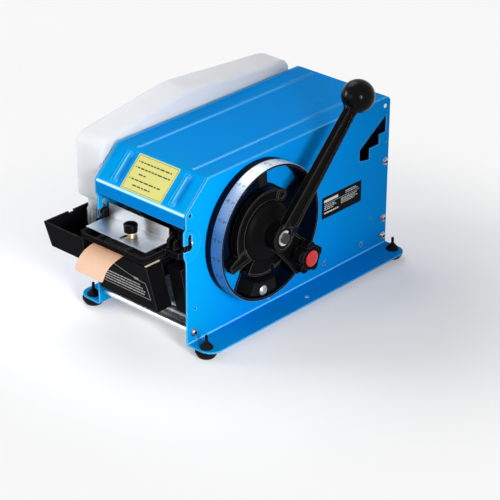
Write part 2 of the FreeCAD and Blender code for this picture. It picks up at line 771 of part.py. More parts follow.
def stop_dome():
    back = flange_face + gap
    bore = sleeve_radius + shaft_clearance
    dome_x = half + dome_face
    profile = [(back, bore), (back, 22), (dome_x - 8, 26, 3), (dome_x - 8, dome_radius - 6),
               (half + 8, dome_radius - 3), (half + 8, dome_radius), (dome_x - 4, dome_radius, 3),
               (dome_x, dome_radius - 6, 3), (dome_x + 4, 24, 4), (sleeve_end, 20), (sleeve_end, bore)]
    return turned_x(shaft_y, shaft_z, profile)


def stop_arm():
    """The fan-shaped arm of the clamp knob, dished on its face and walled down to the dome."""
    outline = [turn(shaft_y, shaft_z, 19, star_angle - 80), turn(shaft_y, shaft_z, 50, star_angle - 25),
               turn(shaft_y, shaft_z, 101, star_angle - 16), turn(shaft_y, shaft_z, 97, star_angle + 14),
               turn(shaft_y, shaft_z, 60, star_angle + 20), turn(shaft_y, shaft_z, 19, star_angle + 80)]
    corners = [p + (r,) for p, r in zip(outline, (0, 8, 5, 5, 8, 0))]
    arm = prism(corners, "yz", arm_low, arm_high)
    dish = prism(inset(outline, 3.0), "yz", arm_high - 1.5, arm_high + 1, 3.0)
    dish = dish.cut(rod("x", shaft_y, shaft_z, 22, half, arm_high + 2))
    dish = dish.cut(rod("x", star_y, star_z, 11, half, arm_high + 2))
    walls = []
    for side in (-1, 1):
        strip = [(24, side * 16), (62, side * 19), (62, side * 16), (24, side * 13)]
        walls.append(prism(aimed(strip, shaft_y, shaft_z, star_angle), "yz", half + 18, arm_low + 1))
    return arm.cut(dish), walls


def stop_casting():
    """A domed hub on the sleeve, with a part flange, a skirt, a pointer and the knob's arm."""
    low, high = stop_flange_low, stop_flange_high
    inside, outside = dome_radius - 2, bumper_inside - stop_flange_inset
    flange = sector(shaft_y, shaft_z, inside, outside, *stop_flange_angles, low, high)
    lip = sector(shaft_y, shaft_z, outside - 2.5, outside, *stop_flange_angles, low - 6, high + 1.5)
    skirt_radius = bumper_inside - skirt_inset
    skirt = sector(shaft_y, shaft_z, inside, skirt_radius, *skirt_angles, low - 2, high)
    hem = sector(shaft_y, shaft_z, skirt_radius - 2.5, skirt_radius, *skirt_angles, low - 6, high + 1.5)
    notch = sector(shaft_y, shaft_z, skirt_radius - 8, skirt_radius + 2, 278, 285, low - 8, high + 4)
    reach = dial_inside - pointer_inset
    root_a, tip_a, tip_b, root_b = pointer_widths
    tongue = [(dome_radius - 3, -root_a), (reach, -tip_a, 3), (reach, tip_b, 3), (dome_radius - 3, root_b)]
    pointer = prism(aimed(tongue, shaft_y, shaft_z, pointer_angle), "yz", low - 4, high + 2)
    tray = prism(aimed(inset([p[:2] for p in tongue], 2.2), shaft_y, shaft_z, pointer_angle), "yz", high - 2, high + 3, 1.5)
    pointer = pointer.cut(tray.cut(rod("x", shaft_y, shaft_z, dome_radius + 1, low, high + 4)))
    boss_y, boss_z = turn(shaft_y, shaft_z, outside - 6, stop_flange_angles[0])
    boss = rod("x", boss_y, boss_z, stop_boss_radius, low - 4, high + 3)
    boss = boss.cut(rod("x", boss_y, boss_z, stop_boss_radius - 3, high + 1, high + 4))
    arm, walls = stop_arm()
    casting = joined(stop_dome(), flange, lip, skirt.cut(notch), hem.cut(notch), pointer, boss, arm, *walls)
    casting = casting.cut(rod("x", shaft_y, shaft_z, sleeve_radius + shaft_clearance, half, star_base))
    return casting.cut(rod("x", star_y, star_z, stud_radius + shaft_clearance, half, star_base))


def star_knob():
    """A lobed hand knob whose stud goes through the casting's arm to a washer behind it."""
    top = star_base + star_height
    body = rod("x", star_y, star_z, star_radius - 7, star_base, top)
    lobes = []
    for i in range(star_lobes):
        y, z = turn(star_y, star_z, star_radius - star_lobe_radius, 360 / star_lobes * i + 14)
        lobes.append(rod("x", y, z, star_lobe_radius, star_base, top - 2))
    washer_low = bumper_out + gap
    stud = rod("x", star_y, star_z, stud_radius, washer_low, star_base)
    neck = rod("x", star_y, star_z, 11.0, arm_high + gap, star_base)
    washer = rod("x", star_y, star_z, stud_radius + 0.6, washer_low, arm_low - gap)
    return joined(body, *lobes, stud, neck, washer)


def star_knob_cap():
    top = star_base + star_height
    profile = [(top, 0), (top, cap_radius), (top + 1.5, cap_radius, 1), (top + 3.5, 6, 4), (top + 4, 0)]
    return turned_x(star_y, star_z, profile)


parts["stop_casting"] = stop_casting()
parts["star_knob"] = star_knob()
parts["star_knob_cap"] = star_knob_cap()

# ---- gear train between the right plate and the gear plate ----
main_high = main_gear_x + gear_width
feed_gear_high = feed_gear_x + gear_width
spacer_places = [(shaft_y + y, shaft_z + z) for y, z in ((-72, 40), (55, 58), (58, -46), (-84, -68))]


def gear_plate():
    corners = [(-98, -78), (20, -78), (70, -58), (70, 70), (20, 70), (-60, 56), (-98, 30)]
    plate = prism([(shaft_y + y, shaft_z + z) for y, z in corners], "yz", bush_low, bush_high, 8)
    holes = [(shaft_y, shaft_z, 12.0), (feed_y, feed_z, 9.0), (idler_y, idler_z, idler_axle_radius),
             (pressure_pivot_y, pressure_pivot_z, pressure_pivot_radius)]
    holes += [(y, z, screw_shank) for y, z in spacer_places]
    for y, z, radius in holes:
        plate = plate.cut(rod("x", y, z, radius, bush_low - 1, bush_high + 1))
    return plate


def main_gear():
    teeth = gear(shaft_y, shaft_z, main_teeth, shaft_radius, main_gear_x, main_high, idler_at)
    for i in range(5):
        y, z = turn(shaft_y, shaft_z, 28, 72 * i + 20)
        teeth = teeth.cut(rod("x", y, z, 9, main_gear_x - 1, main_high + 1))
    hub = tube("x", shaft_y, shaft_z, 15, shaft_radius, main_high, main_high + 9)
    return joined(teeth, hub)


def idler_gear():
    """The compound idler: a pinion driven by the main gear and a wheel that drives the feed."""
    bore = idler_axle_radius + shaft_clearance
    meet = idler_at + 180 + 180 / idler_pinion_teeth
    pinion = gear(idler_y, idler_z, idler_pinion_teeth, bore, main_gear_x - 2, main_high + 2, meet)
    wheel = gear(idler_y, idler_z, idler_wheel_teeth, bore, feed_gear_x, feed_gear_high, feed_at)
    hub = tube("x", idler_y, idler_z, 8.5, bore, bush_high + gap, main_gear_x - 2)
    collar = tube("x", idler_y, idler_z, 8.5, bore, main_high + 2, inner - gap)
    return joined(pinion, wheel, hub, collar)


def feed_pinion():
    meet = feed_at + 180 + 180 / feed_teeth
    return gear(feed_y, feed_z, feed_teeth, feed_shaft_radius, feed_gear_x - 1, feed_gear_high + 1, meet)


parts["gear_plate"] = gear_plate()
parts["gear_plate_spacers"] = group(*[tube("x", y, z, spacer_radius, screw_shank, bush_high, inner)
                                      for y, z in spacer_places])
parts["idler_axle"] = rod("x", idler_y, idler_z, idler_axle_radius, bush_low, half)
parts["main_gear"] = main_gear()
parts["idler_gear"] = idler_gear()
parts["feed_pinion"] = feed_pinion()
parts["feed_shaft"] = rod("x", feed_y, feed_z, feed_shaft_radius, -half - 1, feed_gear_high + 4)

# ---- feed wheel and pressure arm ----
roller_y = feed_y
roller_z = tape_level + tape_thickness + gap + pressure_roller_radius


def feed_wheel():
    low, high = tape_middle - feed_wheel_width / 2, tape_middle + feed_wheel_width / 2
    profile = [(low, feed_shaft_radius), (low, 12), (low + 8, 14), (low + 8, feed_radius - 4), (low, feed_radius - 4),
               (low, feed_radius, 1), (high, feed_radius, 1), (high, feed_radius - 4), (high - 8, feed_radius - 4),
               (high - 8, 14), (high, 12), (high, feed_shaft_radius)]
    return turned_x(feed_y, feed_z, profile)


def pressure_arm():
    """Two cheeks joined by a bridge, turning on the pivot and carrying the roller's axle."""
    cheek_low, cheek_high = tape_right + 6, tape_right + 9
    reach = math.hypot(pressure_pivot_y - roller_y, pressure_pivot_z - roller_z)
    angle = math.degrees(math.atan2(roller_z - pressure_pivot_z, roller_y - pressure_pivot_y))
    cheek = tapered(pressure_pivot_y, pressure_pivot_z, reach, angle, 9, 8, cheek_low, cheek_high)
    shift = V(tape_left - tape_right - 15, 0, 0)
    other = cheek.copy()
    other.translate(shift)
    bridge_y = pressure_pivot_y - reach / 2
    bridge_z = pressure_pivot_z + 1
    bridge = box(cheek_low + shift.x, cheek_high, bridge_y - 4, bridge_y + 8, bridge_z, bridge_z + 3)
    axle = rod("x", roller_y, roller_z, 4.0, cheek_low + shift.x, cheek_high)
    arm = joined(cheek, other, bridge, axle)
    return arm.cut(rod("x", pressure_pivot_y, pressure_pivot_z, pressure_pivot_radius + shaft_clearance, -half, half))


def coil_spring(y, z, mean_radius, wire, pitch, turns, low):
    """A close-wound spring about the X line at (y, z)."""
    helix = Part.makeHelix(pitch, pitch * turns, mean_radius)
    section = Part.Wire(Part.makeCircle(wire, V(mean_radius, 0, 0), V(0, 1, 0)))
    spring = Part.Wire(helix).makePipeShell([section], True, True)
    spring.rotate(V(0, 0, 0), V(0, 1, 0), 90)
    spring.translate(V(low, y, z))
    return spring


parts["feed_wheel"] = feed_wheel()
parts["pressure_arm"] = pressure_arm()
parts["pressure_roller"] = tube("x", roller_y, roller_z, pressure_roller_radius, 4.0 + shaft_clearance,
                                tape_left + 2, tape_right - 2)
parts["pressure_arm_spring"] = coil_spring(pressure_pivot_y, pressure_pivot_z, 5.6, 0.8, 2.0, 5, tape_right + 10.5)
pivot_end = -inner
parts["pressure_arm_pivot"] = rod("x", pressure_pivot_y, pressure_pivot_z, pressure_pivot_radius, -half, bush_high)

# ---- tape table, cutter ----
cutter_y = front + 30        # plane where the two blades meet
blade_thickness = 2.2
table_front = cutter_y + 3 + gap
table_rear = feed_y + 48
blade_pivot_x, blade_pivot_z = tape_right + 18, tape_level - 3
blade_lift = 14.0            # degrees that the moving blade stands open


def tape_table():
    """The bent table under the tape, with a window for the feed wheel and a front flange."""
    top = tape_level - gap
    right = bush_low
    path = [(table_front, 108), (table_front, top), (table_rear, top), (table_rear + 7, top - 6)]
    table = prism(ribbon(path, -panel_sheet, 1.0), "yz", -inner, right)
    ends = box(right - panel_sheet, right, table_front + 2, feed_y - 12, top - 14, top)
    other = box(-inner, -inner + panel_sheet, table_front + 2, feed_y - 12, top - 14, top)
    table = joined(table, ends, other)
    window = box(tape_middle - feed_wheel_width / 2 - 2, tape_middle + feed_wheel_width / 2 + 2,
                 feed_y - 12, feed_y + 12, 100, top + 1)
    return table.cut(window)


def fixed_blade():
    top = tape_level - gap
    section = [(cutter_y, top - 28), (cutter_y + 3, top - 28), (cutter_y + 3, top), (cutter_y + 0.6, top),
               (cutter_y, top - 0.6)]
    return prism(section, "yz", -inner + 6, bush_low)


def moving_blade():
    """A guillotine blade on a pivot to the right of the tape, standing open."""
    high = cutter_y - gap
    low = high - blade_thickness
    left = tape_left - 12
    edge = tape_level
    outline = [(left, edge, 1), (blade_pivot_x - 8, edge), (blade_pivot_x, blade_pivot_z - 8, 6),
               (blade_pivot_x + 9, blade_pivot_z - 4, 6), (blade_pivot_x + 9, blade_pivot_z + 14, 6),
               (left, edge + 17, 3)]
    blade = prism(outline, "xz", low, high)
    blade.rotate(V(blade_pivot_x, 0, blade_pivot_z), V(0, 1, 0), blade_lift)
    return blade.cut(rod("y", blade_pivot_x, blade_pivot_z, 3.0 + shaft_clearance, low - 1, high + 1))


def blade_pivot():
    shank = rod("y", blade_pivot_x, blade_pivot_z, 3.0, cutter_y - blade_thickness - gap - 1, table_front)
    head = rod("y", blade_pivot_x, blade_pivot_z, 5.0, cutter_y - blade_thickness - gap - 3,
               cutter_y - blade_thickness - 2 * gap)
    return joined(shank, head)


parts["tape_table"] = tape_table()
parts["blade_pivot"] = blade_pivot()
parts["fixed_blade"] = fixed_blade().cut(rod("y", blade_pivot_x, blade_pivot_z, 3.0, cutter_y - 1, table_front))
parts["moving_blade"] = moving_blade()

# ---- tape and roll ----
slope_start = front + 100    # where the tape leaves the table towards the roll


def tape_strip():
    """The flat tape on the table and the straight run up to the top of the roll."""
    reach = roll_radius + gap
    dy, dz = roll_y - slope_start, roll_z - tape_level
    distance = math.hypot(dy, dz)
    angle = math.atan2(dz, dy) + math.asin(reach / distance)
    length = math.sqrt(distance ** 2 - reach ** 2)
    touch = (slope_start + length * math.cos(angle), tape_level + length * math.sin(angle))
    path = [(cutter_y, tape_level), (slope_start, tape_level), touch]
    return prism(ribbon(path, tape_thickness, 30), "yz", tape_left, tape_right)


def tape_end():
    """The free end over the brushes and the guard, curling down in front."""
    turn_down = math.degrees(2 * math.atan(tape_curl_drop / tape_curl_reach))
    corner = guard_front - tape_curl_radius * math.tan(math.radians(turn_down / 2))
    path = [(cutter_y - blade_thickness - 2 * gap - 0.2, tape_level), (corner, tape_level),
            (guard_front - tape_curl_reach, tape_level - tape_curl_drop)]
    return prism(ribbon(path, -tape_thickness, tape_curl_radius), "yz", tape_left, tape_right)


parts["tape_strip"] = tape_strip()
parts["tape_end"] = tape_end()
parts["paper_roll"] = tube("x", roll_y, roll_z, roll_radius, roll_core_radius, tape_left, tape_right)
parts["roll_core"] = tube("x", roll_y, roll_z, roll_core_radius, roll_bore_radius, tape_left, tape_right)

# ---- basket rollers and tape guides ----
roller_low, roller_high = tape_left + 1, tape_right - 1
guide_sheet = 1.5


def tape_guide(low):
    corners = [(-108, 20), (90, 20), (90, 120), (32, 172), (-58, 172), (-108, 120)]
    wall = prism([(roll_y + y, z) for y, z in corners], "yz", low, low + guide_sheet, 8)
    wall = wall.cut(rod("x", roll_y, roll_z, roll_bore_radius + 12, low - 1, low + 3))
    for y in basket_places:
        wall = joined(wall, rod("x", y, basket_z, 8, low, low + guide_sheet))
        wall = wall.cut(rod("x", y, basket_z, basket_axle_radius + shaft_clearance, low - 1, low + 3))
    return wall


parts["basket_axles"] = group(*[rod("x", y, basket_z, basket_axle_radius, -half, half) for y in basket_places])
for name, y in zip(("front_basket_roller", "rear_basket_roller"), basket_places):
    parts[name] = tube("x", y, basket_z, basket_roller_radius, basket_axle_radius + shaft_clearance,
                       roller_low, roller_high)
parts["left_tape_guide"] = tape_guide(tape_left - gap - guide_sheet)
parts["right_tape_guide"] = tape_guide(tape_right + gap)

# ---- water tank and brushes ----
trough_front = guard_face(tank_rim) + moulding_wall + 1
tank_corners = [(tank_left, tank_front), (guard_left - 2.5, tank_front), (guard_left - 2.5, trough_front),
                (guard_right - 4, trough_front), (guard_right - 4, tank_rear), (-half - 3, tank_rear),
                (-half - 3, reservoir_rear), (tank_left + 1, reservoir_rear)]
tank_drafts = [tank_outer_draft, tank_inner_draft, guard_face(tank_floor) - guard_face(tank_rim), tank_inner_draft,
               tank_inner_draft, tank_inner_draft, tank_inner_draft, tank_outer_draft - 0.5]
cap_x = -half - bottle_out - bottle_width / 2
cap_bottom = tank_floor + tank_wall + 12


def water_tank():
    """A drafted trough in front of the body that reaches out under the bottle at the left."""
    bottom = inset(tank_corners, tank_drafts)
    shell = loft(bottom, tank_floor, tank_corners, tank_rim)
    hollow = loft(inset(bottom, tank_wall), tank_floor + tank_wall, inset(tank_corners, tank_wall), tank_rim + 0.01)
    tank = shell.cut(hollow)
    tank = tank.cut(box(guard_left - 2.6, half, guard_front, tank_rear + 5, tank_low_rim, tank_rim + 1))
    tank = tank.cut(box(tank_left - 5, tank_left + 9, front - 6, front + 4, tank_rim - 3, tank_rim + 1))
    floor_top = tank_floor + tank_wall
    post = rod("z", cap_x, cap_y, 4.0, floor_top - 0.5, cap_bottom - gap)
    ribs = []
    for angle in (45, 135, 225, 315):
        x = cap_x + (cap_outer_radius - 2.7) * math.cos(math.radians(angle))
        y = cap_y + (cap_outer_radius - 2.7) * math.sin(math.radians(angle))
        ribs.append(rod("z", x, y, 2.5, floor_top - 0.5, cap_bottom - gap))
    return joined(tank, post, *ribs)


brush_left = tape_left + 5
brush_right = guard_right - 4 - tank_inner_draft - tank_wall - gap - 1.5
brush_rows = [guard_front + 20.5 + 13.5 * i for i in range(3)]
brush_depth = 9.0
brush_base = tank_floor + tank_wall


def brush_holder():
    front_edge, back_edge = brush_rows[0] - 6, brush_rows[2] + brush_depth / 2 + 2
    tray = box(brush_left - 1.5, brush_right + 1.5, front_edge, back_edge, brush_base, brush_base + 9)
    for y in brush_rows:
        tray = tray.cut(box(brush_left, brush_right, y - brush_depth / 2, y + brush_depth / 2,
                            brush_base + 2, brush_base + 10))
    return tray


def brush_bristles():
    """Three rows of bristles that stand in the water and touch the tape from below."""
    tops = tape_level - gap
    rows = []
    for y in brush_rows:
        section = [(y - brush_depth / 2, brush_base + 2), (y + brush_depth / 2, brush_base + 2),
                   (y + brush_depth / 2, tops - 1, 1), (y - brush_depth / 2, tops - 1, 1)]
        rows.append(prism(section, "yz", brush_left, brush_right))
    return group(*rows)


parts["water_tank"] = water_tank()
parts["brush_holder"] = brush_holder()
parts["brush_bristles"] = brush_bristles()

# ---- front guards ----


def leaning_shell(left, right, top_front, top, bottom, lean, depth):
    """A moulding open at its back, whose front leans back towards the bottom."""
    outline = [(top_front, top), (top_front + lean, bottom), (top_front + lean + depth, bottom),
               (top_front + depth, top)]
    shell = prism(outline, "yz", left, right, 1.5)
    hollow = [(top_front + moulding_wall, top - moulding_wall), (top_front + lean + moulding_wall, bottom + moulding_wall),
              (top_front + lean + depth + 9, bottom + moulding_wall), (top_front + depth + 9, top - moulding_wall)]
    return shell.cut(prism(hollow, "yz", left + moulding_wall, right - moulding_wall))


def front_guard():
    """The wide guard below the tape: its upper part clears the tank that stands in it."""
    guard = leaning_shell(guard_left, guard_right, guard_front, guard_top, guard_bottom, guard_lean, guard_depth)
    low, high = tank_floor - 2.2, guard_top + 1
    clear_tank = [(guard_face(high) + moulding_wall, high), (guard_face(low) + moulding_wall, low),
                  (tank_rear, low), (tank_rear, high)]
    return guard.cut(prism(clear_tank, "yz", guard_left - 1, guard_right - moulding_wall))


def side_guard():
    """The small guard beside it, notched at the back to clear the crossmember."""
    guard = leaning_shell(guard_right + 9, inner - gap, front - side_guard_reach, side_guard_top,
                          side_guard_bottom, side_guard_lean, side_guard_depth)
    notch = box(guard_right, half, crossmember_y - gap, tank_rear + 10, crossmember_low - gap, tank_floor + gap)
    return guard.cut(notch)


parts["front_guard"] = front_guard()
parts["side_guard"] = side_guard()

# ---- brush cover with its pressure plate ----
frame_top = cover_frame_bottom + cover_frame_height
rest_top = frame_top + 1.2
frame_rear_bar = (front - 6, front + 16)
rib_gap = 29.0               # from the knob to the frame's two ribs
lug_top = 171.0
plate_z = rest_top + gap


def brush_cover_frame():
    """An open grid hinged on two pegs in the plates' notches, over the wetted tape."""
    left, right, near, far = cover_frame_left, cover_frame_right, cover_frame_front, frame_rear_bar[0]
    outer = [(left + 10, near), (right - 4, near), (right, near + 4), (right, far), (left, far), (left, near + 4)]
    rim = prism(outer, "xy", cover_frame_bottom, frame_top, 1.5)
    rim = rim.cut(prism(inset(outer, frame_bar), "xy", cover_frame_bottom - 1, frame_top + 1))
    bar_half = inner - press_depth - 2
    bar = box(-bar_half, bar_half, far - 1.5, frame_rear_bar[1], cover_frame_bottom, frame_top)
    pieces = [bar, rod("z", knob_x, knob_y, 7.0, cover_frame_bottom, rest_top)]
    for x in (knob_x - rib_gap, knob_x + rib_gap):
        pieces.append(box(x - 1.5, x + 1.5, near + 1, far, cover_frame_bottom, rest_top))
    lug = [(far + 4, frame_top - 1), (far + 18, frame_top - 1), (far + 18, lug_top, 4), (far + 4, lug_top, 6)]
    for low in (left - 4, right - frame_bar, right + 9):
        pieces.append(prism(lug, "yz", low, low + frame_bar))
    cheek = [(peg_y - peg_radius - 1, cover_frame_bottom), (peg_y + peg_radius + 0.5, cover_frame_bottom),
             (peg_y + peg_radius + 0.5, peg_z + 7, 5), (peg_y - peg_radius - 1, peg_z + 7, 5)]
    for sign in (-1, 1):
        low, high = sorted((sign * (bar_half - 4), sign * bar_half))
        pieces.append(prism(cheek, "yz", low, high))
        low, high = sorted((sign * bar_half, sign * (half - press_depth + 0.5)))
        pieces.append(rod("x", peg_y, peg_z, peg_radius, low, high))
    frame = joined(rim, *pieces)
    return frame.cut(rod("z", knob_x, knob_y, 2.5 + shaft_clearance, cover_frame_bottom - 1, rest_top + 1))


def tape_presser():
    """A bent leaf under the frame that holds the tape down on the brushes."""
    low = tape_level + tape_thickness + gap
    path = [(cover_frame_front + 5, low + 5), (cover_frame_front + 11, low), (peg_y - 4, low),
            (peg_y - 3, cover_frame_bottom - 1),
            (frame_rear_bar[1] - 2, cover_frame_bottom - 1)]
    return prism(ribbon(path, 1.0), "yz", tape_left, tape_right)


def pressure_plate():
    """A bright steel angle that lies on the frame and slides under the thumb knob."""
    left = cover_frame_left + 1
    rear_edge = front + 10
    path = [(rear_edge - plate_spring_length, plate_z), (rear_edge, plate_z), (rear_edge, plate_z + plate_spring_rise)]
    plate = prism(ribbon(path, panel_sheet, 1.0), "yz", left, left + plate_spring_width)
    slot = [(knob_x - 3, knob_y - 21), (knob_x + 3, knob_y - 21), (knob_x + 3, knob_y + 7.5), (knob_x - 3, knob_y + 7.5)]
    return plate.cut(prism(slot, "xy", plate_z - 1, plate_z + 3, 2.9))


knob_seat = plate_z + panel_sheet + gap


def thumb_knob():
    top = knob_seat + 3 + knob_height
    head = turned_z(knob_x, knob_y, [(0, knob_seat + 3), (knob_radius - 3.5, knob_seat + 3), (knob_radius - 2, knob_seat + 5),
                                     (knob_radius, top - 6, 1.5), (knob_radius, top - 1.5, 1.2), (knob_radius - 3, top, 1), (0, top)])
    for i in range(16):
        angle = math.radians(22.5 * i)
        head = head.cut(rod("z", knob_x + (knob_radius + 0.5) * math.cos(angle),
                            knob_y + (knob_radius + 0.5) * math.sin(angle), 1.1, knob_seat + 6, top - 2))
    stud = rod("z", knob_x, knob_y, 2.5, cover_frame_bottom, knob_seat + 3)
    return joined(head, stud)


parts["brush_cover_frame"] = brush_cover_frame()
parts["tape_presser"] = tape_presser()
parts["pressure_plate"] = pressure_plate()
parts["thumb_knob"] = thumb_knob()
parts["thumb_knob_collar"] = tube("z", knob_x, knob_y, 6.0, 2.5, knob_seat, knob_seat + 3)

# ---- bottle ----
bottle_right = -half - bottle_out
bottle_left = bottle_right - bottle_width
bottle_side = [(bottle_front, bottle_bottom), (bottle_front + 58, bottle_bottom), (bottle_front + 71, bottle_shelf),
               (bottle_back, bottle_shelf), (bottle_back, bottle_tops[2]), (bottle_front + 178, bottle_tops[1]),
               (bottle_front, bottle_tops[0])]
bottle_radii = (12, 8, 8, bottle_corner, bottle_corner, 60, bottle_corner)
bottle_edge = 7.0
neck_bottom = bottle_bottom - 10


def water_bottle():
    """A flat, wedge-shaped bottle that stands on its neck and lies along the left plate."""
    corners = [p + (r,) for p, r in zip(bottle_side, bottle_radii)]
    body = prism(corners, "yz", bottle_left, bottle_right)
    rims = [e for e in body.Edges if abs(e.BoundBox.XMin - e.BoundBox.XMax) < 0.01]
    body = body.makeFillet(bottle_edge, rims)
    neck = rod("z", cap_x, cap_y, neck_radius, neck_bottom, bottle_bottom + 8)
    bottle = joined(body, neck)
    inside = inset(bottle_side, bottle_wall)
    hollows = [p + (max(r - bottle_wall, 2),) for p, r in zip(inside, bottle_radii)]
    cavity = prism(hollows, "yz", bottle_left + bottle_wall, bottle_right - bottle_wall)
    rims = [e for e in cavity.Edges if abs(e.BoundBox.XMin - e.BoundBox.XMax) < 0.01]
    cavity = cavity.makeFillet(bottle_edge - bottle_wall, rims)
    return bottle.cut(joined(cavity, rod("z", cap_x, cap_y, neck_radius - 2.5, neck_bottom - 1, bottle_bottom + 12)))


def bottle_cap():
    """A screw cap with grip ribs and the valve hole in its middle."""
    top = cap_bottom + cap_height
    bore = neck_radius + 0.2
    profile = [(3.0, cap_bottom), (cap_outer_radius - 1.5, cap_bottom), (cap_outer_radius - 0.8, cap_bottom + 3),
               (cap_outer_radius - 0.8, top), (bore, top), (bore, neck_bottom - gap), (3.0, neck_bottom - gap - 6)]
    cap = turned_z(cap_x, cap_y, profile)
    ribs = []
    for i in range(20):
        angle = math.radians(18 * i)
        x = cap_x + (cap_outer_radius - 0.8) * math.cos(angle)
        y = cap_y + (cap_outer_radius - 0.8) * math.sin(angle)
        rib = box(-0.6, 0.8, -0.8, 0.8, cap_bottom + 3, top - 1)
        rib.rotate(V(0, 0, 0), V(0, 0, 1), 18 * i)
        rib.translate(V(x, y, 0))
        ribs.append(rib)
    return joined(cap, *ribs)


def bottle_bracket():
    """A shelf on the left plate that holds up the rear of the bottle."""
    shelf = bottle_side[3][1] - gap
    outside = bottle_left - gap
    path = [(-half, shelf - 34), (-half, shelf), (outside, shelf), (outside, shelf + 12)]
    return prism(ribbon(path, panel_sheet, 1.0), "xz", bottle_back - 100, bottle_back - 50)


parts["water_bottle"] = water_bottle()
parts["bottle_cap"] = bottle_cap()
parts["bottle_bracket"] = bottle_bracket()

# ---- plate screws ----


def plate_screw(y, z, low, high):
    """A pan head on its washer, with the shank going in through the right plate."""
    washer = rod("x", y, z, screw_head + 1.4, high, high + 0.8)
    head = rod("x", y, z, screw_head, high + 0.8, high + 0.8 + screw_head_height)
    head = head.makeFillet(1.2, [e for e in head.Edges if e.BoundBox.XMin > high + screw_head_height])
    slot = box(high + screw_head_height - 0.6, high + 5, y - screw_head, y + screw_head, z - 0.6, z + 0.6)
    return joined(rod("x", y, z, screw_shank, low, high), washer, head).cut(slot)


def plate_screws():
    screws = []
    places = [(rear_screw_y, z, inner - 4) for z in rear_screw_heights]
    places += [(tie_rod_y, tie_rod_z, inner - 12)]
    for y, z, low in places:
        screw = plate_screw(y, z, low, half)
        screws += [screw, mirrored(screw)]
    for y, z in spacer_places:
        screw = plate_screw(y, z, -bush_low - 12, -bush_low)
        screws.append(mirrored(screw))
    return screws


def bumper_screw():
    y, z = turn(shaft_y, shaft_z, bumper_outside - 8.1, bumper_angles[1] - 2)
    top = arm_low - gap
    profile = [(bumper_out, 0), (bumper_out, 8.0), (top - 2.2, 8.0, 1), (top, 5.0, 1.5), (top, 0)]
    return turned_x(y, z, profile)


parts["fastener_screws"] = group(*plate_screws(), bumper_screw())

# ---- write one file per piece ----
os.makedirs("parts", exist_ok=True)
for name, shape in parts.items():
    if not shape.isValid():
        print("not valid:", name)
    shape.exportStep("parts/" + name + ".step")
    print(name, len(shape.Solids), round(shape.Volume / 1000, 2))
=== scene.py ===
import json
import math
import random

import bmesh
import bpy
from mathutils import Matrix, Vector


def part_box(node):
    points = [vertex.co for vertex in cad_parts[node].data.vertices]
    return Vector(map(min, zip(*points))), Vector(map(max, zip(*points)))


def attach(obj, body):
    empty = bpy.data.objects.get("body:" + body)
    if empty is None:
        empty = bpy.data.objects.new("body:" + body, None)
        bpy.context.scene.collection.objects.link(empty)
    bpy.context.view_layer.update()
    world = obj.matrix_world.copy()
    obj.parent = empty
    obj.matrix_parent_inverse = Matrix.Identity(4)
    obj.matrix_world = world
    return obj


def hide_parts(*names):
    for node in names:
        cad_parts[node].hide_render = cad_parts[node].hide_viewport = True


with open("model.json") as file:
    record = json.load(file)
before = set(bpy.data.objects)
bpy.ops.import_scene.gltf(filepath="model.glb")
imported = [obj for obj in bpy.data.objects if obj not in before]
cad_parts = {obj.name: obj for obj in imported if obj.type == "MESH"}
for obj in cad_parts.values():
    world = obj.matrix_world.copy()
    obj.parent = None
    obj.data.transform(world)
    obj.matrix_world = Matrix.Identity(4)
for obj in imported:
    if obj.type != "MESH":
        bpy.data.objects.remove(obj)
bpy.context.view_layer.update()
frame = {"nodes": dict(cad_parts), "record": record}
nodes = frame["nodes"]


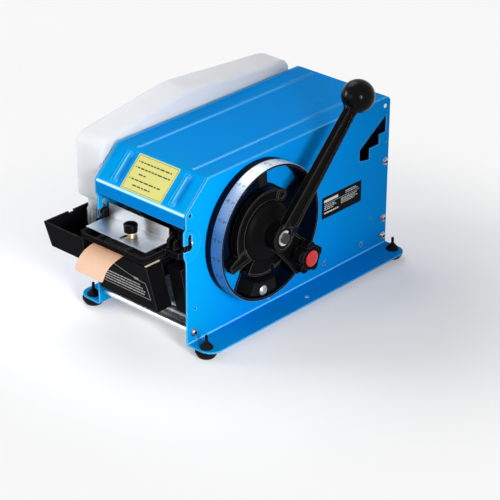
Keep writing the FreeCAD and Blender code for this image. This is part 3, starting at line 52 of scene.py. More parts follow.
class Finish:
    # a material with one principled skin, and short ways to hang patterns on it
    def __init__(self, name, colour, roughness, metallic=0.0, specular=0.5, more=None):
        self.mat = bpy.data.materials.new(name)
        self.mat.use_nodes = True
        self.mat.diffuse_color = (*colour, 1)
        self.tree = self.mat.node_tree
        self.skin = self.tree.nodes["Principled BSDF"]
        self.colour = colour
        sockets = {"Base Color": (*colour, 1), "Roughness": roughness, "Metallic": metallic,
                   "Specular IOR Level": specular, **(more or {})}
        for key, value in sockets.items():
            self.skin.inputs[key].default_value = value
        self.place = self.node("TexCoord").outputs["Object"]
        self.bumpOut = None

    def node(self, kind, **settings):
        made = self.tree.nodes.new("ShaderNode" + kind)
        for key, value in settings.items():
            setattr(made, key, value)
        return made

    def link(self, a, b):
        self.tree.links.new(a, b)

    def noise(self, scale, detail, rough=0.55, stretch=None):
        made = self.node("TexNoise")
        made.inputs["Scale"].default_value = scale
        made.inputs["Detail"].default_value = detail
        made.inputs["Roughness"].default_value = rough
        self.link(self.stretched(stretch), made.inputs["Vector"])
        return made.outputs["Fac"]

    def stretched(self, stretch, shift=(0, 0, 0)):
        if stretch is None:
            return self.place
        mapping = self.node("Mapping")
        mapping.inputs["Location"].default_value = shift
        mapping.inputs["Scale"].default_value = stretch
        self.link(self.place, mapping.inputs["Vector"])
        return mapping.outputs[0]

    def axes(self, vector=None):
        # the X, Y and Z of a vector, or of the place on the object
        split = self.node("SeparateXYZ")
        self.link(self.place if vector is None else vector, split.inputs[0])
        return tuple(split.outputs)

    def ranged(self, value, span, to=(0.0, 1.0), **settings):
        # span's two ends become the two ends of to, and what lies outside stays at an end
        made = self.node("MapRange", **settings)
        for key, number in zip(("From Min", "From Max", "To Min", "To Max"), (*span, *to)):
            made.inputs[key].default_value = number
        self.link(value, made.inputs["Value"])
        return made.outputs[0]

    def math(self, operation, *values):
        made = self.node("Math", operation=operation)
        for socket, value in zip(made.inputs, values):
            if isinstance(value, (int, float)):
                socket.default_value = value
            else:
                self.link(value, socket)
        return made.outputs[0]

    def product(self, first, *others):
        for other in others:
            first = self.math("MULTIPLY", first, other)
        return first

    def away(self, value, middle):
        return self.math("ABSOLUTE", self.math("SUBTRACT", value, middle))

    def blend(self, factor, first, second):
        # sockets 6 and 7 of a mix node hold its two colours
        made = self.node("Mix", data_type="RGBA")
        for socket, value in ((6, first), (7, second)):
            if isinstance(value, (tuple, list)):
                made.inputs[socket].default_value = (*value[:3], 1)
            else:
                self.link(value, made.inputs[socket])
        self.link(factor, made.inputs[0])
        return made.outputs[2]

    def tint(self, factor, other):
        # a second colour laid over what is there by a pattern
        socket = self.skin.inputs["Base Color"]
        first = socket.links[0].from_socket if socket.is_linked else self.colour
        self.link(self.blend(factor, first, other), socket)

    def mottle(self, other, amount, scale, detail, span):
        # soft patches of a second colour
        self.tint(self.ranged(self.noise(scale, detail), span, (0.0, amount)), other)

    def shine(self, pattern, low, high):
        self.link(self.ranged(pattern, (0.3, 0.7), (low, high)), self.skin.inputs["Roughness"])

    def bump(self, pattern, strength, depth):
        made = self.node("Bump")
        made.inputs["Strength"].default_value = strength
        made.inputs["Distance"].default_value = depth
        self.link(pattern, made.inputs["Height"])
        if self.bumpOut is not None:
            self.link(self.bumpOut, made.inputs["Normal"])
        self.bumpOut = made.outputs[0]
        self.link(self.bumpOut, self.skin.inputs["Normal"])

    def soften(self, radius):
        # rounds the look of sharp edges; call it before any bump
        made = self.node("Bevel", samples=6)
        made.inputs["Radius"].default_value = radius
        self.bumpOut = made.outputs[0]
        self.link(self.bumpOut, self.skin.inputs["Normal"])

    def wear(self, other, amount, radius, turn=(0.985, 0.86)):
        # paints a second colour along folds and rims as a painted highlight or painted shade; turn is how far
        # the surface bends, from nothing to full
        rounded = self.node("Bevel", samples=8)
        rounded.inputs["Radius"].default_value = radius
        dot = self.node("VectorMath", operation="DOT_PRODUCT")
        self.link(rounded.outputs[0], dot.inputs[0])
        self.link(self.node("NewGeometry").outputs["Normal"], dot.inputs[1])
        edge = self.ranged(dot.outputs["Value"], turn)
        self.tint(self.product(edge, amount), other)


camera = {
    "azimuth": 42.473,      # degrees round from the front
    "elevation": 27.339,
    "roll": 0.251,
    "distance": 3.0071,
    "target": (0, 0, 0.12),
    "slide": (0.005353, -0.062594),   # across and up from the target
    "lens": 145.99,
    "sensor": 36,
    "farthest": 50,
}


def placeCamera():
    az, el, roll = (math.radians(camera[k]) for k in ("azimuth", "elevation", "roll"))
    back = Vector((math.sin(az) * math.cos(el), -math.cos(az) * math.cos(el), math.sin(el)))
    right = Vector((math.cos(az), math.sin(az), 0))
    up = back.cross(right)
    right, up = (right * math.cos(roll) + up * math.sin(roll),
                 up * math.cos(roll) - right * math.sin(roll))
    across, rise = camera["slide"]
    place = Vector(camera["target"]) + right * across + up * rise + back * camera["distance"]
    data = bpy.data.cameras.new("camera")
    data.lens = camera["lens"]
    data.sensor_width = camera["sensor"]
    data.clip_end = camera["farthest"]
    eye = bpy.data.objects.new("camera", data)
    turn = Matrix((right, up, back)).transposed().to_4x4()
    eye.matrix_world = Matrix.Translation(place) @ turn
    bpy.context.collection.objects.link(eye)
    bpy.context.scene.camera = eye


lamps = {
    "key": dict(place=(1.3, -0.66, 0.62), size=(0.42, 0.42), watts=1.52,
                aim=(0.09, -0.25, 0.2), spread=38),
    "top": dict(place=(-1.1, 0.3, 1.7), size=(1.2, 1.2), watts=15.5),
    "front": dict(place=(-0.5, -2.1, 0.75), size=(1.2, 0.8), watts=5.5),
    "side": dict(place=(-1.5, -1.1, 0.55), size=(0.7, 0.7), watts=1.4,
                 aim=(-0.13, -0.2, 0.2), spread=45),
}


def softBox(name, place, size, watts, aim=(0, 0, 0.12), spread=180):
    data = bpy.data.lights.new(name, "AREA")
    data.shape = "RECTANGLE"
    data.size, data.size_y = size
    data.energy = watts
    data.spread = math.radians(spread)
    lamp = bpy.data.objects.new(name, data)
    lamp.location = place
    lamp.rotation_euler = (Vector(aim) - Vector(place)).to_track_quat("-Z", "Y").to_euler()
    bpy.context.collection.objects.link(lamp)


studio = {
    "worldColour": (0.95, 0.97, 1, 1),
    "worldStrength": 0.38,
    "backdrop": (0.945, 0.945, 0.945, 1),
    "paleRays": ("Is Camera Ray", "Is Glossy Ray", "Is Transmission Ray"),   # these meet the backdrop
    "floorSize": 14,
    "floorLevel": -0.0004,
    "floorColour": (0.96, 0.96, 0.965),
    "floorRoughness": 0.7,
    "floorSpecular": 0.1,
    "glowReach": (0.3, 0.62),     # metres from the middle over which the floor's glow grows
    "glowShare": (0.25, 0.97),    # its share of what the pale rays see, near and far
}


def onPaleRays(tree):
    # one where a ray is any of the pale kinds
    path = tree.nodes.new("ShaderNodeLightPath")
    total = path.outputs[studio["paleRays"][0]]
    for kind in studio["paleRays"][1:]:
        larger = tree.nodes.new("ShaderNodeMath")
        larger.operation = "MAXIMUM"
        tree.links.new(total, larger.inputs[0])
        tree.links.new(path.outputs[kind], larger.inputs[1])
        total = larger.outputs[0]
    return total


def lightWorld():
    world = bpy.data.worlds.new("studio")
    bpy.context.scene.world = world
    world.use_nodes = True
    tree = world.node_tree
    tree.nodes.clear()
    out = tree.nodes.new("ShaderNodeOutputWorld")
    soft = tree.nodes.new("ShaderNodeBackground")
    soft.inputs["Color"].default_value = studio["worldColour"]
    soft.inputs["Strength"].default_value = studio["worldStrength"]
    seen = tree.nodes.new("ShaderNodeBackground")
    seen.inputs["Color"].default_value = studio["backdrop"]
    mix = tree.nodes.new("ShaderNodeMixShader")
    tree.links.new(onPaleRays(tree), mix.inputs[0])
    tree.links.new(soft.outputs[0], mix.inputs[1])
    tree.links.new(seen.outputs[0], mix.inputs[2])
    tree.links.new(mix.outputs[0], out.inputs["Surface"])


def layFloor():
    bpy.ops.object.select_all(action="DESELECT")
    bpy.ops.mesh.primitive_plane_add(size=studio["floorSize"], location=(0, 0, studio["floorLevel"]))
    floor = bpy.context.object
    floor.name = "floor"
    pale = Finish("paleFloor", studio["floorColour"], studio["floorRoughness"],
                  specular=studio["floorSpecular"])
    glow = pale.node("Emission")
    glow.inputs["Color"].default_value = studio["backdrop"]
    length = pale.node("VectorMath", operation="LENGTH")
    pale.link(pale.place, length.inputs[0])
    share = pale.ranged(length.outputs["Value"], studio["glowReach"], studio["glowShare"],
                        interpolation_type="SMOOTHSTEP")
    mix = pale.node("MixShader")
    pale.link(pale.product(onPaleRays(pale.tree), share), mix.inputs[0])
    pale.link(pale.skin.outputs[0], mix.inputs[1])
    pale.link(glow.outputs[0], mix.inputs[2])
    pale.link(mix.outputs[0], pale.tree.nodes["Material Output"].inputs["Surface"])
    floor.data.materials.append(pale.mat)


bpy.context.scene.view_settings.view_transform = "Standard"
placeCamera()
lightWorld()
layFloor()
for lampName, lamp in lamps.items():
    softBox(lampName, **lamp)
print("camera, floor and lamps placed")

paint = {
    "blue": (0.0006, 0.232, 0.657),
    "blueSheen": (0.05, 0.5, 1.0),
    # painted highlight along the blue's edges and folds
    "blueEdgeHighlight": (0.16, 0.56, 0.92),
    # painted shading towards the front
    "blueFrontShade": (0.0008, 0.255, 0.585),
    # painted highlight on the lid's lower fold
    "foldGlint": (0.55, 0.95, 1.0),
    # painted shade on the lid's lip
    "lip": (0.0006, 0.165, 0.5),
    # painted shade along the slant's seams
    "seamShade": (0.0003, 0.012, 0.05),
    # painted shade and painted highlight on the slant's ribs
    "ribShade": (0.0004, 0.085, 0.36),
    "ribCrestHighlight": (0.2, 0.68, 1.0),
    # painted shade inside the rear panel
    "insideShade": (0.0004, 0.004, 0.013),
    # painted reflection of the blue plate, for the dial drum
    "drum": (0.0012, 0.0045, 0.014),
    "black": (0.0028, 0.0027, 0.003),
    # painted highlight along black edges
    "blackEdgeHighlight": (0.15, 0.133, 0.125),
    "moulding": (0.0034, 0.0034, 0.004),
    # painted highlight along moulding edges
    "mouldingEdgeHighlight": (0.085, 0.085, 0.092),
    "knob": (0.0014, 0.0014, 0.0016),
    "rubber": (0.006, 0.006, 0.0063),
    "rubberDust": (0.016, 0.0155, 0.016),
    "red": (0.46, 0.006, 0.01),
    "white": (0.8, 0.82, 0.85),
    "bristle": (0.03, 0.024, 0.02),
    "coreBoard": (0.55, 0.5, 0.43),
    "brightSteel": (0.86, 0.865, 0.875),
    "groundSteel": (0.5, 0.5, 0.52),
    "polishedPlate": (0.55, 0.57, 0.6),
    "darkShaft": (0.06, 0.06, 0.064),
    "brass": (0.7, 0.56, 0.33),
    "pan": (0.9, 0.91, 0.93),
    "panStreak": (0.42, 0.43, 0.45),
    "bolt": (0.55, 0.56, 0.59),
    # painted shade along the bolts' edges
    "boltEdgeShade": (0.04, 0.05, 0.07),
    "boltPatch": (0.12, 0.13, 0.15),
    "zinc": (0.7, 0.71, 0.73),
    "zincCell": (0.5, 0.51, 0.55),
    "kraft": (0.56, 0.315, 0.195),
    # painted sheen at the tape's cut end
    "kraftEndSheen": (0.8, 0.59, 0.46),
    "kraftFibre": (0.62, 0.35, 0.21),
    "kraftFleck": (0.84, 0.56, 0.39),
    "roll": (0.7, 0.43, 0.27),
    "rollTurn": (0.42, 0.24, 0.14),
    "rollFleck": (0.8, 0.55, 0.37),
    "milk": (0.95, 0.965, 0.99),
    "milkCloud": (0.86, 0.9, 0.95),
    "cap": (0.8, 0.83, 0.88),
    "capGroove": (0.05, 0.055, 0.065),
    "band": (0.06, 0.18, 0.4),
    # painted reflections on the dial's scale band
    "bandTopReflection": (0.62, 0.68, 0.74),
    "bandFootReflection": (0.06, 0.2, 0.42),
    "bandFleck": (0.13, 0.26, 0.5),
}

# where a colour sets in along Y or Z, from nothing to full, in metres
fadeIn = {
    "blueFrontShade": (-0.12, -0.2),
    "kraftEndSheen": (-0.262, -0.304),
    "bandTopReflection": (0.18, 0.25),
    "bandFootReflection": (0.15, 0.07),
}

lidShade = {
    "foldY": -0.216,               # metres; the lower fold lies in front of this, at foldZ
    "foldZ": 0.2145,
    "glint": (0.0028, 0.0006),     # off the fold, from nothing to full
    "lip": (-0.0015, -0.004),      # down from the fold
    "foldAmount": 0.9,
    "seamShade": (0.0868, 0.0881),      # across, at each end of the slant
    "seamY": -0.176,
    "seamAmount": 0.9,
    "ribs": (-0.057, 0.057),
    "ribTop": (-0.177, -0.186),    # Y, from nothing to full
    "ribFoot": (-0.217, -0.208),
    "shadeRise": (0.0025, 0.0055),    # across from a rib's middle
    "shadeFall": (0.0055, 0.017),
    "shadeAmount": 0.75,
    "crest": 0.0012,               # across from a rib's middle
    "crestWidth": (0.0012, 0.0004),
    "crestAmount": 0.8,
}

plateShade = {
    "panelX": 0.0872,              # metres; the rear panel's inner face lies within this,
    "panelY": 0.15,                # behind this, and its normal's Y is below facing
    "facing": -0.5,
    "panelAmount": 0.93,
    "turnX": 0.0906,               # where the flanges turn out
    "turnZ": 0.0149,
    "turnReach": 0.0009,
    "turnAmount": 0.7,
}


def shaded(colour, share, lift=0.0):
    return tuple(c * share + lift for c in colour)


def shifted(ends, by):
    return tuple(end + by for end in ends)


def shadeLid(skin, x, y, z):
    # a painted highlight on the lower fold, painted shade on the lip under it, and a line of painted shade
    # along the seam at each end of the slant
    spec = lidShade
    # painted highlight along the lower fold
    front = skin.math("LESS_THAN", y, spec["foldY"])
    glint = skin.ranged(skin.away(z, spec["foldZ"]), spec["glint"], (0.0, spec["foldAmount"]))
    skin.tint(skin.product(front, glint), paint["foldGlint"])
    # painted shade on the lip below the fold
    lip = skin.ranged(z, shifted(spec["lip"], spec["foldZ"]), (0.0, spec["foldAmount"]))
    skin.tint(skin.product(front, lip), paint["lip"])
    # painted shade along the seam at each end of the slant
    across = skin.math("ABSOLUTE", x)
    inner, outer = spec["seamShade"]
    beside = skin.product(skin.math("GREATER_THAN", across, inner), skin.math("LESS_THAN", across, outer))
    slant = skin.math("LESS_THAN", y, spec["seamY"])
    skin.tint(skin.product(beside, slant, spec["seamAmount"]), paint["seamShade"])
    # each rib of the slant gets painted shade along one side and a painted highlight on its crest
    along = skin.product(skin.ranged(y, spec["ribTop"]), skin.ranged(y, spec["ribFoot"]))
    for rib in spec["ribs"]:
        shade = skin.product(skin.ranged(x, shifted(spec["shadeRise"], rib), (0.0, spec["shadeAmount"])),
                             skin.ranged(x, shifted(spec["shadeFall"], rib), (1.0, 0.0)))
        skin.tint(skin.product(shade, along), paint["ribShade"])
        crest = skin.ranged(skin.away(x, rib + spec["crest"]), spec["crestWidth"], (0.0, spec["crestAmount"]))
        skin.tint(skin.product(crest, along), paint["ribCrestHighlight"])


def shadePlates(skin, x, y, z):
    # painted shade makes the rear panel dark inside, and a painted highlight runs along the turn of the
    # flanges
    spec = plateShade
    across = skin.math("ABSOLUTE", x)
    facing = skin.axes(skin.node("NewGeometry").outputs["Normal"])[1]
    inside = skin.product(skin.math("LESS_THAN", across, spec["panelX"]),
                          skin.math("GREATER_THAN", y, spec["panelY"]),
                          skin.math("LESS_THAN", facing, spec["facing"]), spec["panelAmount"])
    skin.tint(inside, paint["insideShade"])
    # painted highlight along the turn of the flanges
    turned = skin.product(skin.math("COMPARE", across, spec["turnX"], spec["turnReach"]),
                          skin.math("COMPARE", z, spec["turnZ"], spec["turnReach"]), spec["turnAmount"])
    skin.tint(turned, paint["blueEdgeHighlight"])


def enamel(name, roughness, fold, shade):
    # fold is how wide the painted highlight along edges and folds reaches; shade adds painted light and shade
    # at fixed places
    colour = paint["blue"]
    skin = Finish(name, colour, roughness, specular=0.006,
                  more={"Specular Tint": (*paint["blueSheen"], 1)})
    x, y, z = skin.axes()
    # painted shading: the blue turns greener towards the front
    skin.tint(skin.ranged(y, fadeIn["blueFrontShade"]), paint["blueFrontShade"])
    skin.soften(radius=0.0012)
    skin.bump(skin.noise(scale=420, detail=2), strength=0.04, depth=0.0003)
    skin.shine(skin.noise(scale=9, detail=3), roughness * 0.85, roughness * 1.2)
    skin.mottle(shaded(colour, 0.85), amount=0.1, scale=5, detail=5, span=(0.35, 0.75))
    # painted highlight along the edges and folds
    skin.wear(paint["blueEdgeHighlight"], amount=0.8, radius=fold, turn=(0.975, 0.88))
    shade(skin, x, y, z)
    return skin.mat


def casting(name, colour, roughness=0.36, edge=0.001):
    skin = Finish(name, colour, roughness, specular=0.02)
    skin.soften(edge)
    skin.bump(skin.noise(scale=900, detail=3), strength=0.16, depth=0.00025)
    skin.shine(skin.noise(scale=40, detail=4), roughness * 0.85, roughness * 1.2)
    skin.mottle(shaded(colour, 1.7, 0.001), amount=0.3, scale=60, detail=5, span=(0.45, 0.8))
    # painted highlight along the edges
    skin.wear(paint["blackEdgeHighlight"], amount=0.75, radius=edge)
    return skin.mat


def moulded(name, colour, roughness=0.4, specular=0.012, edge=0.0008, rim=None):
    skin = Finish(name, colour, roughness, specular=specular)
    skin.soften(edge)
    skin.bump(skin.noise(scale=1400, detail=2), strength=0.1, depth=0.0002)
    skin.shine(skin.noise(scale=22, detail=4), roughness * 0.88, roughness * 1.15)
    skin.mottle(shaded(colour, 1.3, 0.001), amount=0.25, scale=14, detail=6, span=(0.4, 0.8))
    if rim:
        # painted highlight along the edges
        skin.wear(rim, amount=0.75, radius=edge)
    return skin.mat


def rubberSkin(name):
    skin = Finish(name, paint["rubber"], roughness=0.6, specular=0.04)
    skin.soften(radius=0.0006)
    skin.bump(skin.noise(scale=1800, detail=3), strength=0.2, depth=0.0002)
    skin.mottle(paint["rubberDust"], amount=0.3, scale=90, detail=5, span=(0.5, 0.8))
    return skin.mat


def metal(name, colour, roughness, brush=None, marks=0.12):
    # brush is the scale of the grinding lines along each axis
    skin = Finish(name, colour, roughness, metallic=1.0)
    skin.soften(radius=0.0004)
    lines = skin.noise(scale=1, detail=3, stretch=brush) if brush else skin.noise(scale=500, detail=3)
    skin.bump(lines, strength=0.06, depth=0.0001)
    skin.shine(lines, roughness * 0.8, roughness * 1.3)
    skin.mottle(shaded(colour, 0.55), amount=marks, scale=30, detail=6, span=(0.5, 0.85))
    return skin.mat


def panSteel(name):
    # dull galvanised sheet with grey streaks along the machine's width
    skin = Finish(name, paint["pan"], roughness=0.45, metallic=0.15)
    streaks = skin.noise(scale=1, detail=4, stretch=(2, 160, 160))
    skin.tint(skin.ranged(streaks, (0.42, 0.58), (0.0, 0.75)), paint["panStreak"])
    skin.shine(streaks, low=0.3, high=0.5)
    skin.bump(skin.noise(scale=500, detail=3), strength=0.05, depth=0.0001)
    return skin.mat


def boltSteel(name, edge=0.0008):
    skin = Finish(name, paint["bolt"], roughness=0.28, metallic=1.0)
    skin.soften(edge)
    # painted shade along the heads' edges
    skin.wear(paint["boltEdgeShade"], amount=0.9, radius=edge)
    # random dark patches over the heads
    skin.mottle(paint["boltPatch"], amount=0.6, scale=420, detail=3, span=(0.48, 0.6))
    return skin.mat


def zincPlate(name):
    skin = Finish(name, paint["zinc"], roughness=0.34, metallic=1.0)
    skin.soften(radius=0.0004)
    cells = skin.node("TexVoronoi")
    cells.inputs["Scale"].default_value = 260
    skin.link(skin.place, cells.inputs["Vector"])
    skin.tint(skin.ranged(cells.outputs["Distance"], (0.1, 0.9), (0.0, 0.18)), paint["zincCell"])
    skin.shine(skin.noise(scale=120, detail=4), low=0.26, high=0.42)
    return skin.mat


def kraftPaper(name):
    # paler towards the cut end, a painted sheen
    skin = Finish(name, paint["kraft"], roughness=0.6, specular=0.2)
    y = skin.axes()[1]
    skin.tint(skin.ranged(y, fadeIn["kraftEndSheen"], (0.0, 0.6)), paint["kraftEndSheen"])
    fibre = skin.noise(scale=1, detail=6, stretch=(900, 260, 900))
    skin.tint(skin.ranged(fibre, (0.45, 0.75), (0.0, 0.25)), paint["kraftFibre"])
    skin.mottle(paint["kraftFleck"], amount=0.25, scale=260, detail=4, span=(0.5, 0.8))
    skin.bump(fibre, strength=0.1, depth=0.0002)
    return skin.mat


def rollPaper(name, turn=0.0009):
    # bands that run round the roll's axle, as the turns of its paper do
    low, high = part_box("paper_roll")
    skin = Finish(name, paint["roll"], roughness=0.66, specular=0.2)
    length = skin.node("VectorMath", operation="LENGTH")
    middle = (0, -(low[1] + high[1]) / 2, -(low[2] + high[2]) / 2)
    skin.link(skin.stretched((0, 1, 1), middle), length.inputs[0])
    rings = skin.math("SINE", skin.product(length.outputs["Value"], 2 * math.pi / turn))
    skin.tint(skin.ranged(rings, (0.0, 1.0), (0.0, 0.4)), paint["rollTurn"])
    skin.mottle(paint["rollFleck"], amount=0.35, scale=160, detail=4, span=(0.45, 0.8))
    skin.bump(rings, strength=0.3, depth=0.0002)
    return skin.mat


def milkyPlastic(name, colour, clear, ridges=0):
    skin = Finish(name, colour, roughness=0.36, specular=0.3, more={
        "Subsurface Weight": 0.5, "Subsurface Scale": 0.02, "Subsurface Radius": (1.0, 1.0, 1.0),
        "Transmission Weight": clear, "IOR": 1.3})
    skin.bump(skin.noise(scale=35, detail=3), strength=0.08, depth=0.001)
    skin.shine(skin.noise(scale=60, detail=4), low=0.3, high=0.44)
    skin.mottle(paint["milkCloud"], amount=0.25, scale=6, detail=4, span=(0.4, 0.8))
    if ridges:
        low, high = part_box("bottle_cap")
        middle = (-(low[0] + high[0]) / 2, -(low[1] + high[1]) / 2, 0)
        x, y = skin.axes(skin.stretched((1, 1, 1), middle))[:2]
        grooves = skin.math("SINE", skin.product(skin.math("ARCTAN2", y, x), ridges))
        skin.tint(skin.ranged(grooves, (0.1, 0.7), (0.0, 0.8)), paint["capGroove"])
        skin.bump(grooves, strength=0.3, depth=0.0006)
    return skin.mat


def scaleBand(name):
    # lighter towards the top and bluer towards the foot, painted reflections of the light above and of the
    # blue plate below
    skin = Finish(name, paint["band"], roughness=0.3, metallic=0.45, specular=0.4)
    z = skin.axes()[2]
    skin.tint(skin.ranged(z, fadeIn["bandTopReflection"]), paint["bandTopReflection"])
    skin.tint(skin.ranged(z, fadeIn["bandFootReflection"], (0.0, 0.8)), paint["bandFootReflection"])
    lines = skin.noise(scale=1, detail=3, stretch=(20, 700, 700))
    skin.bump(lines, strength=0.05, depth=0.0001)
    skin.shine(lines, low=0.3, high=0.44)
    skin.mottle(paint["bandFleck"], amount=0.25, scale=24, detail=4, span=(0.4, 0.8))
    return skin.mat


def printInk(name, colour):
    skin = Finish(name, colour, roughness=0.5, specular=0.2)
    skin.mottle(shaded(colour, 0.7, 0.01), amount=0.3, scale=700, detail=3, span=(0.4, 0.7))
    return skin.mat


finish = {
    "blue_enamel": enamel("blueEnamel", roughness=0.34, fold=0.002, shade=shadePlates),
    "black_enamel": casting("blackEnamel", paint["black"]),
    "zinc_steel": zincPlate("zincPlate"),
    "bright_steel": metal("brightSteel", paint["brightSteel"], roughness=0.34, brush=(900, 14, 900)),
    "hardened_steel": metal("groundSteel", paint["groundSteel"], roughness=0.3, brush=(60, 900, 900)),
    "brass": metal("turnedBrass", paint["brass"], roughness=0.32, marks=0.25),
    "rubber": rubberSkin("blackRubber"),
    "black_plastic": moulded("blackMoulding", paint["moulding"], rim=paint["mouldingEdgeHighlight"]),
    "knob_plastic": moulded("knobGloss", paint["knob"], roughness=0.18, specular=0.08),
    "red_plastic": moulded("redCap", paint["red"], roughness=0.16, specular=0.5),
    "white_plastic": moulded("whitePlastic", paint["white"], specular=0.3, edge=0.0003),
    "bottle_plastic": milkyPlastic("milkyBottle", paint["milk"], clear=0.4),
    "kraft_paper": kraftPaper("kraftPaper"),
    "core_board": moulded("coreBoard", paint["coreBoard"], roughness=0.8, specular=0.1),
    "bristle": moulded("bristleHair", paint["bristle"], roughness=0.5, specular=0.3, edge=0.0002),
}
ownFinish = {
    "top_cover": enamel("blueLid", roughness=0.3, fold=0.004, shade=shadeLid),
    # a navy tint on the drum, a painted reflection of the blue plate
    "dial_drum": casting("drumReflectionTint", paint["drum"]),
    "paper_roll": rollPaper("rollPaper"),
    "pressure_plate": metal("polishedPlate", paint["polishedPlate"], roughness=0.32,
                            brush=(1500, 40, 1500), marks=0.03),
    "base_pan": panSteel("panSteel"),
    "fastener_screws": boltSteel("boltSteel"),
    "dial_scale_band": scaleBand("scaleBand"),
    "drive_shaft": metal("darkShaft", paint["darkShaft"], roughness=0.36, brush=(60, 900, 900)),
    "bottle_cap": milkyPlastic("milkyCap", paint["cap"], clear=0.1, ridges=32),
}

slotOf = {row["node"]: row["material_slot"] for row in frame["record"]["subparts"]}
for nodeName, piece in nodes.items():
    mat = ownFinish.get(nodeName) or finish[slotOf[nodeName]]
    if not piece.material_slots:
        piece.data.materials.append(mat)
    for slot in piece.material_slots:
        slot.material = mat
print("finishes on", len(nodes), "pieces")


def mm(*numbers):
    # the pieces' sizes and places below are in millimetres
    return [n / 1000 for n in numbers]


def newPiece(name):
    piece = bpy.context.object
    piece.name = piece.data.name = name
    return piece


def selectOnly(pieces):
    bpy.ops.object.select_all(action="DESELECT")
    for piece in pieces:
        piece.select_set(True)
    bpy.context.view_layer.objects.active = pieces[0]


def pick(piece, kind, wanted):
    # in edit mode, selects the faces, edges or points that wanted() says yes to
    bpy.ops.mesh.select_mode(type=kind)
    bpy.ops.mesh.select_all(action="DESELECT")
    mesh = bmesh.from_edit_mesh(piece.data)
    for part in {"FACE": mesh.faces, "EDGE": mesh.edges, "VERT": mesh.verts}[kind]:
        part.select_set(bool(wanted(part)))
    mesh.select_flush_mode()
    bmesh.update_edit_mesh(piece.data)


def faceOut():
    # in edit mode, turns every normal outward
    bpy.ops.mesh.select_all(action="SELECT")
    bpy.ops.mesh.normals_make_consistent(inside=False)


def freezePlace(piece):
    selectOnly([piece])
    bpy.ops.object.transform_apply(location=True, rotation=True, scale=True)


def smoothTo(degrees):
    bpy.ops.object.shade_smooth_by_angle(angle=math.radians(degrees))


def stamp(source, places, name):
    # copies a small piece to each place and joins the copies into one
    copies = []
    for place in places:
        twin = source.copy()
        twin.data = source.data.copy()
        bpy.context.collection.objects.link(twin)
        twin.matrix_world = place
        copies.append(twin)
    bpy.data.objects.remove(source)
    selectOnly(copies)
    bpy.ops.object.join()
    piece = newPiece(name)
    freezePlace(piece)
    return piece


def dress(piece, mat, body):
    piece.data.materials.clear()
    piece.data.materials.append(mat)
    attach(piece, body)


def patch(origin, right, up):
    # the frame of a flat place on the object: its middle, its right and its up
    right, up = Vector(right).normalized(), Vector(up).normalized()
    turn = Matrix((right, up, right.cross(up))).transposed().to_4x4()
    return Matrix.Translation(Vector(origin)) @ turn


def unitPlane():
    bpy.ops.object.select_all(action="DESELECT")
    bpy.ops.mesh.primitive_plane_add(size=1)
    return bpy.context.object


def stampBars(ground, bars, rise, name):
    # bars are (middle right, middle up, width, height) in millimetres on a flat place
    places = [ground @ Matrix.Translation(mm(u, v, rise)) @ Matrix.Diagonal((*mm(w, h), 1, 1))
              for u, v, w, h in bars]
    return stamp(unitPlane(), places, name)


def printRows(rows, words, gap, seed, shortest=1.5):
    # rows of plain bars of uneven length; a row is its level, start, end and height
    dice = random.Random(seed)
    bars = []
    for level, at, end, height in rows:
        while at < end - shortest:
            width = min(dice.uniform(*words), end - at)
            bars.append((at + width / 2, level, width, height))
            at += width + gap
    return bars


def sheetLabel(name, ground, size, corner, thick):
    unitPlane()
    piece = newPiece(name)
    bpy.ops.object.mode_set(mode="EDIT")
    bpy.ops.transform.resize(value=mm(*size) + [1])
    bpy.ops.mesh.bevel(offset=corner / 1000, segments=5, affect="VERTICES")
    bpy.ops.mesh.extrude_region_move(TRANSFORM_OT_translate={"value": (0, 0, thick / 1000)})
    faceOut()
    bpy.ops.object.mode_set(mode="OBJECT")
    piece.matrix_world = ground
    freezePlace(piece)
    return piece


def ringOutline(name, ground, corners, width, rise):
    # a closed line of one width through corners, as a flat ring
    bpy.ops.object.select_all(action="DESELECT")
    bpy.ops.mesh.primitive_circle_add(vertices=len(corners), radius=0.05, fill_type="NGON")
    piece = newPiece(name)
    bpy.ops.object.mode_set(mode="EDIT")
    for i, (u, v) in enumerate(corners):
        pick(piece, "VERT", lambda point: point.index == i)
        here = next(p.co.copy() for p in bmesh.from_edit_mesh(piece.data).verts if p.select)
        bpy.ops.transform.translate(value=Vector(mm(u, v, rise)) - here)
    faceOut()
    pick(piece, "FACE", lambda face: True)
    bpy.ops.mesh.inset(thickness=width / 1000)
    bpy.ops.mesh.delete(type="FACE")
    bpy.ops.object.mode_set(mode="OBJECT")
    if piece.data.polygons[0].normal.z < 0:
        piece.data.flip_normals()
    piece.matrix_world = ground
    freezePlace(piece)
    return piece


instructionLabel = {
    "slantFoot": (-220, 215.5),  # Y and Z of the slant's lower fold
    "slant": (45, 42),           # how far the slant runs back, and how far it rises
    "middle": (-0.5, 30.8),      # across, and up the slant from its lower fold
    "size": (80, 56.5),
    "corner": 1.5,
    "thick": 0.25,
    "inkRise": 0.08,             # over the paper
    "paper": (0.55, 0.53, 0.16),
    "ink": (0.05, 0.05, 0.04),
    "borderInset": 1.9,
    "borderWidth": 0.55,
    # the level, start and end of each line
    "lines": ((17, -30, 31), (8, -30, 33), (-1, -22, -8), (-10, -30, 26), (-18.5, -22, 12)),
    "lineHeight": 2.1,
    "words": (3.5, 9.0),
    "gap": 1.6,
    "bullets": (17, 8, -10),     # their levels
    "bulletAcross": -33.2,
    "bulletSize": 1.8,
    "seed": 4,
}


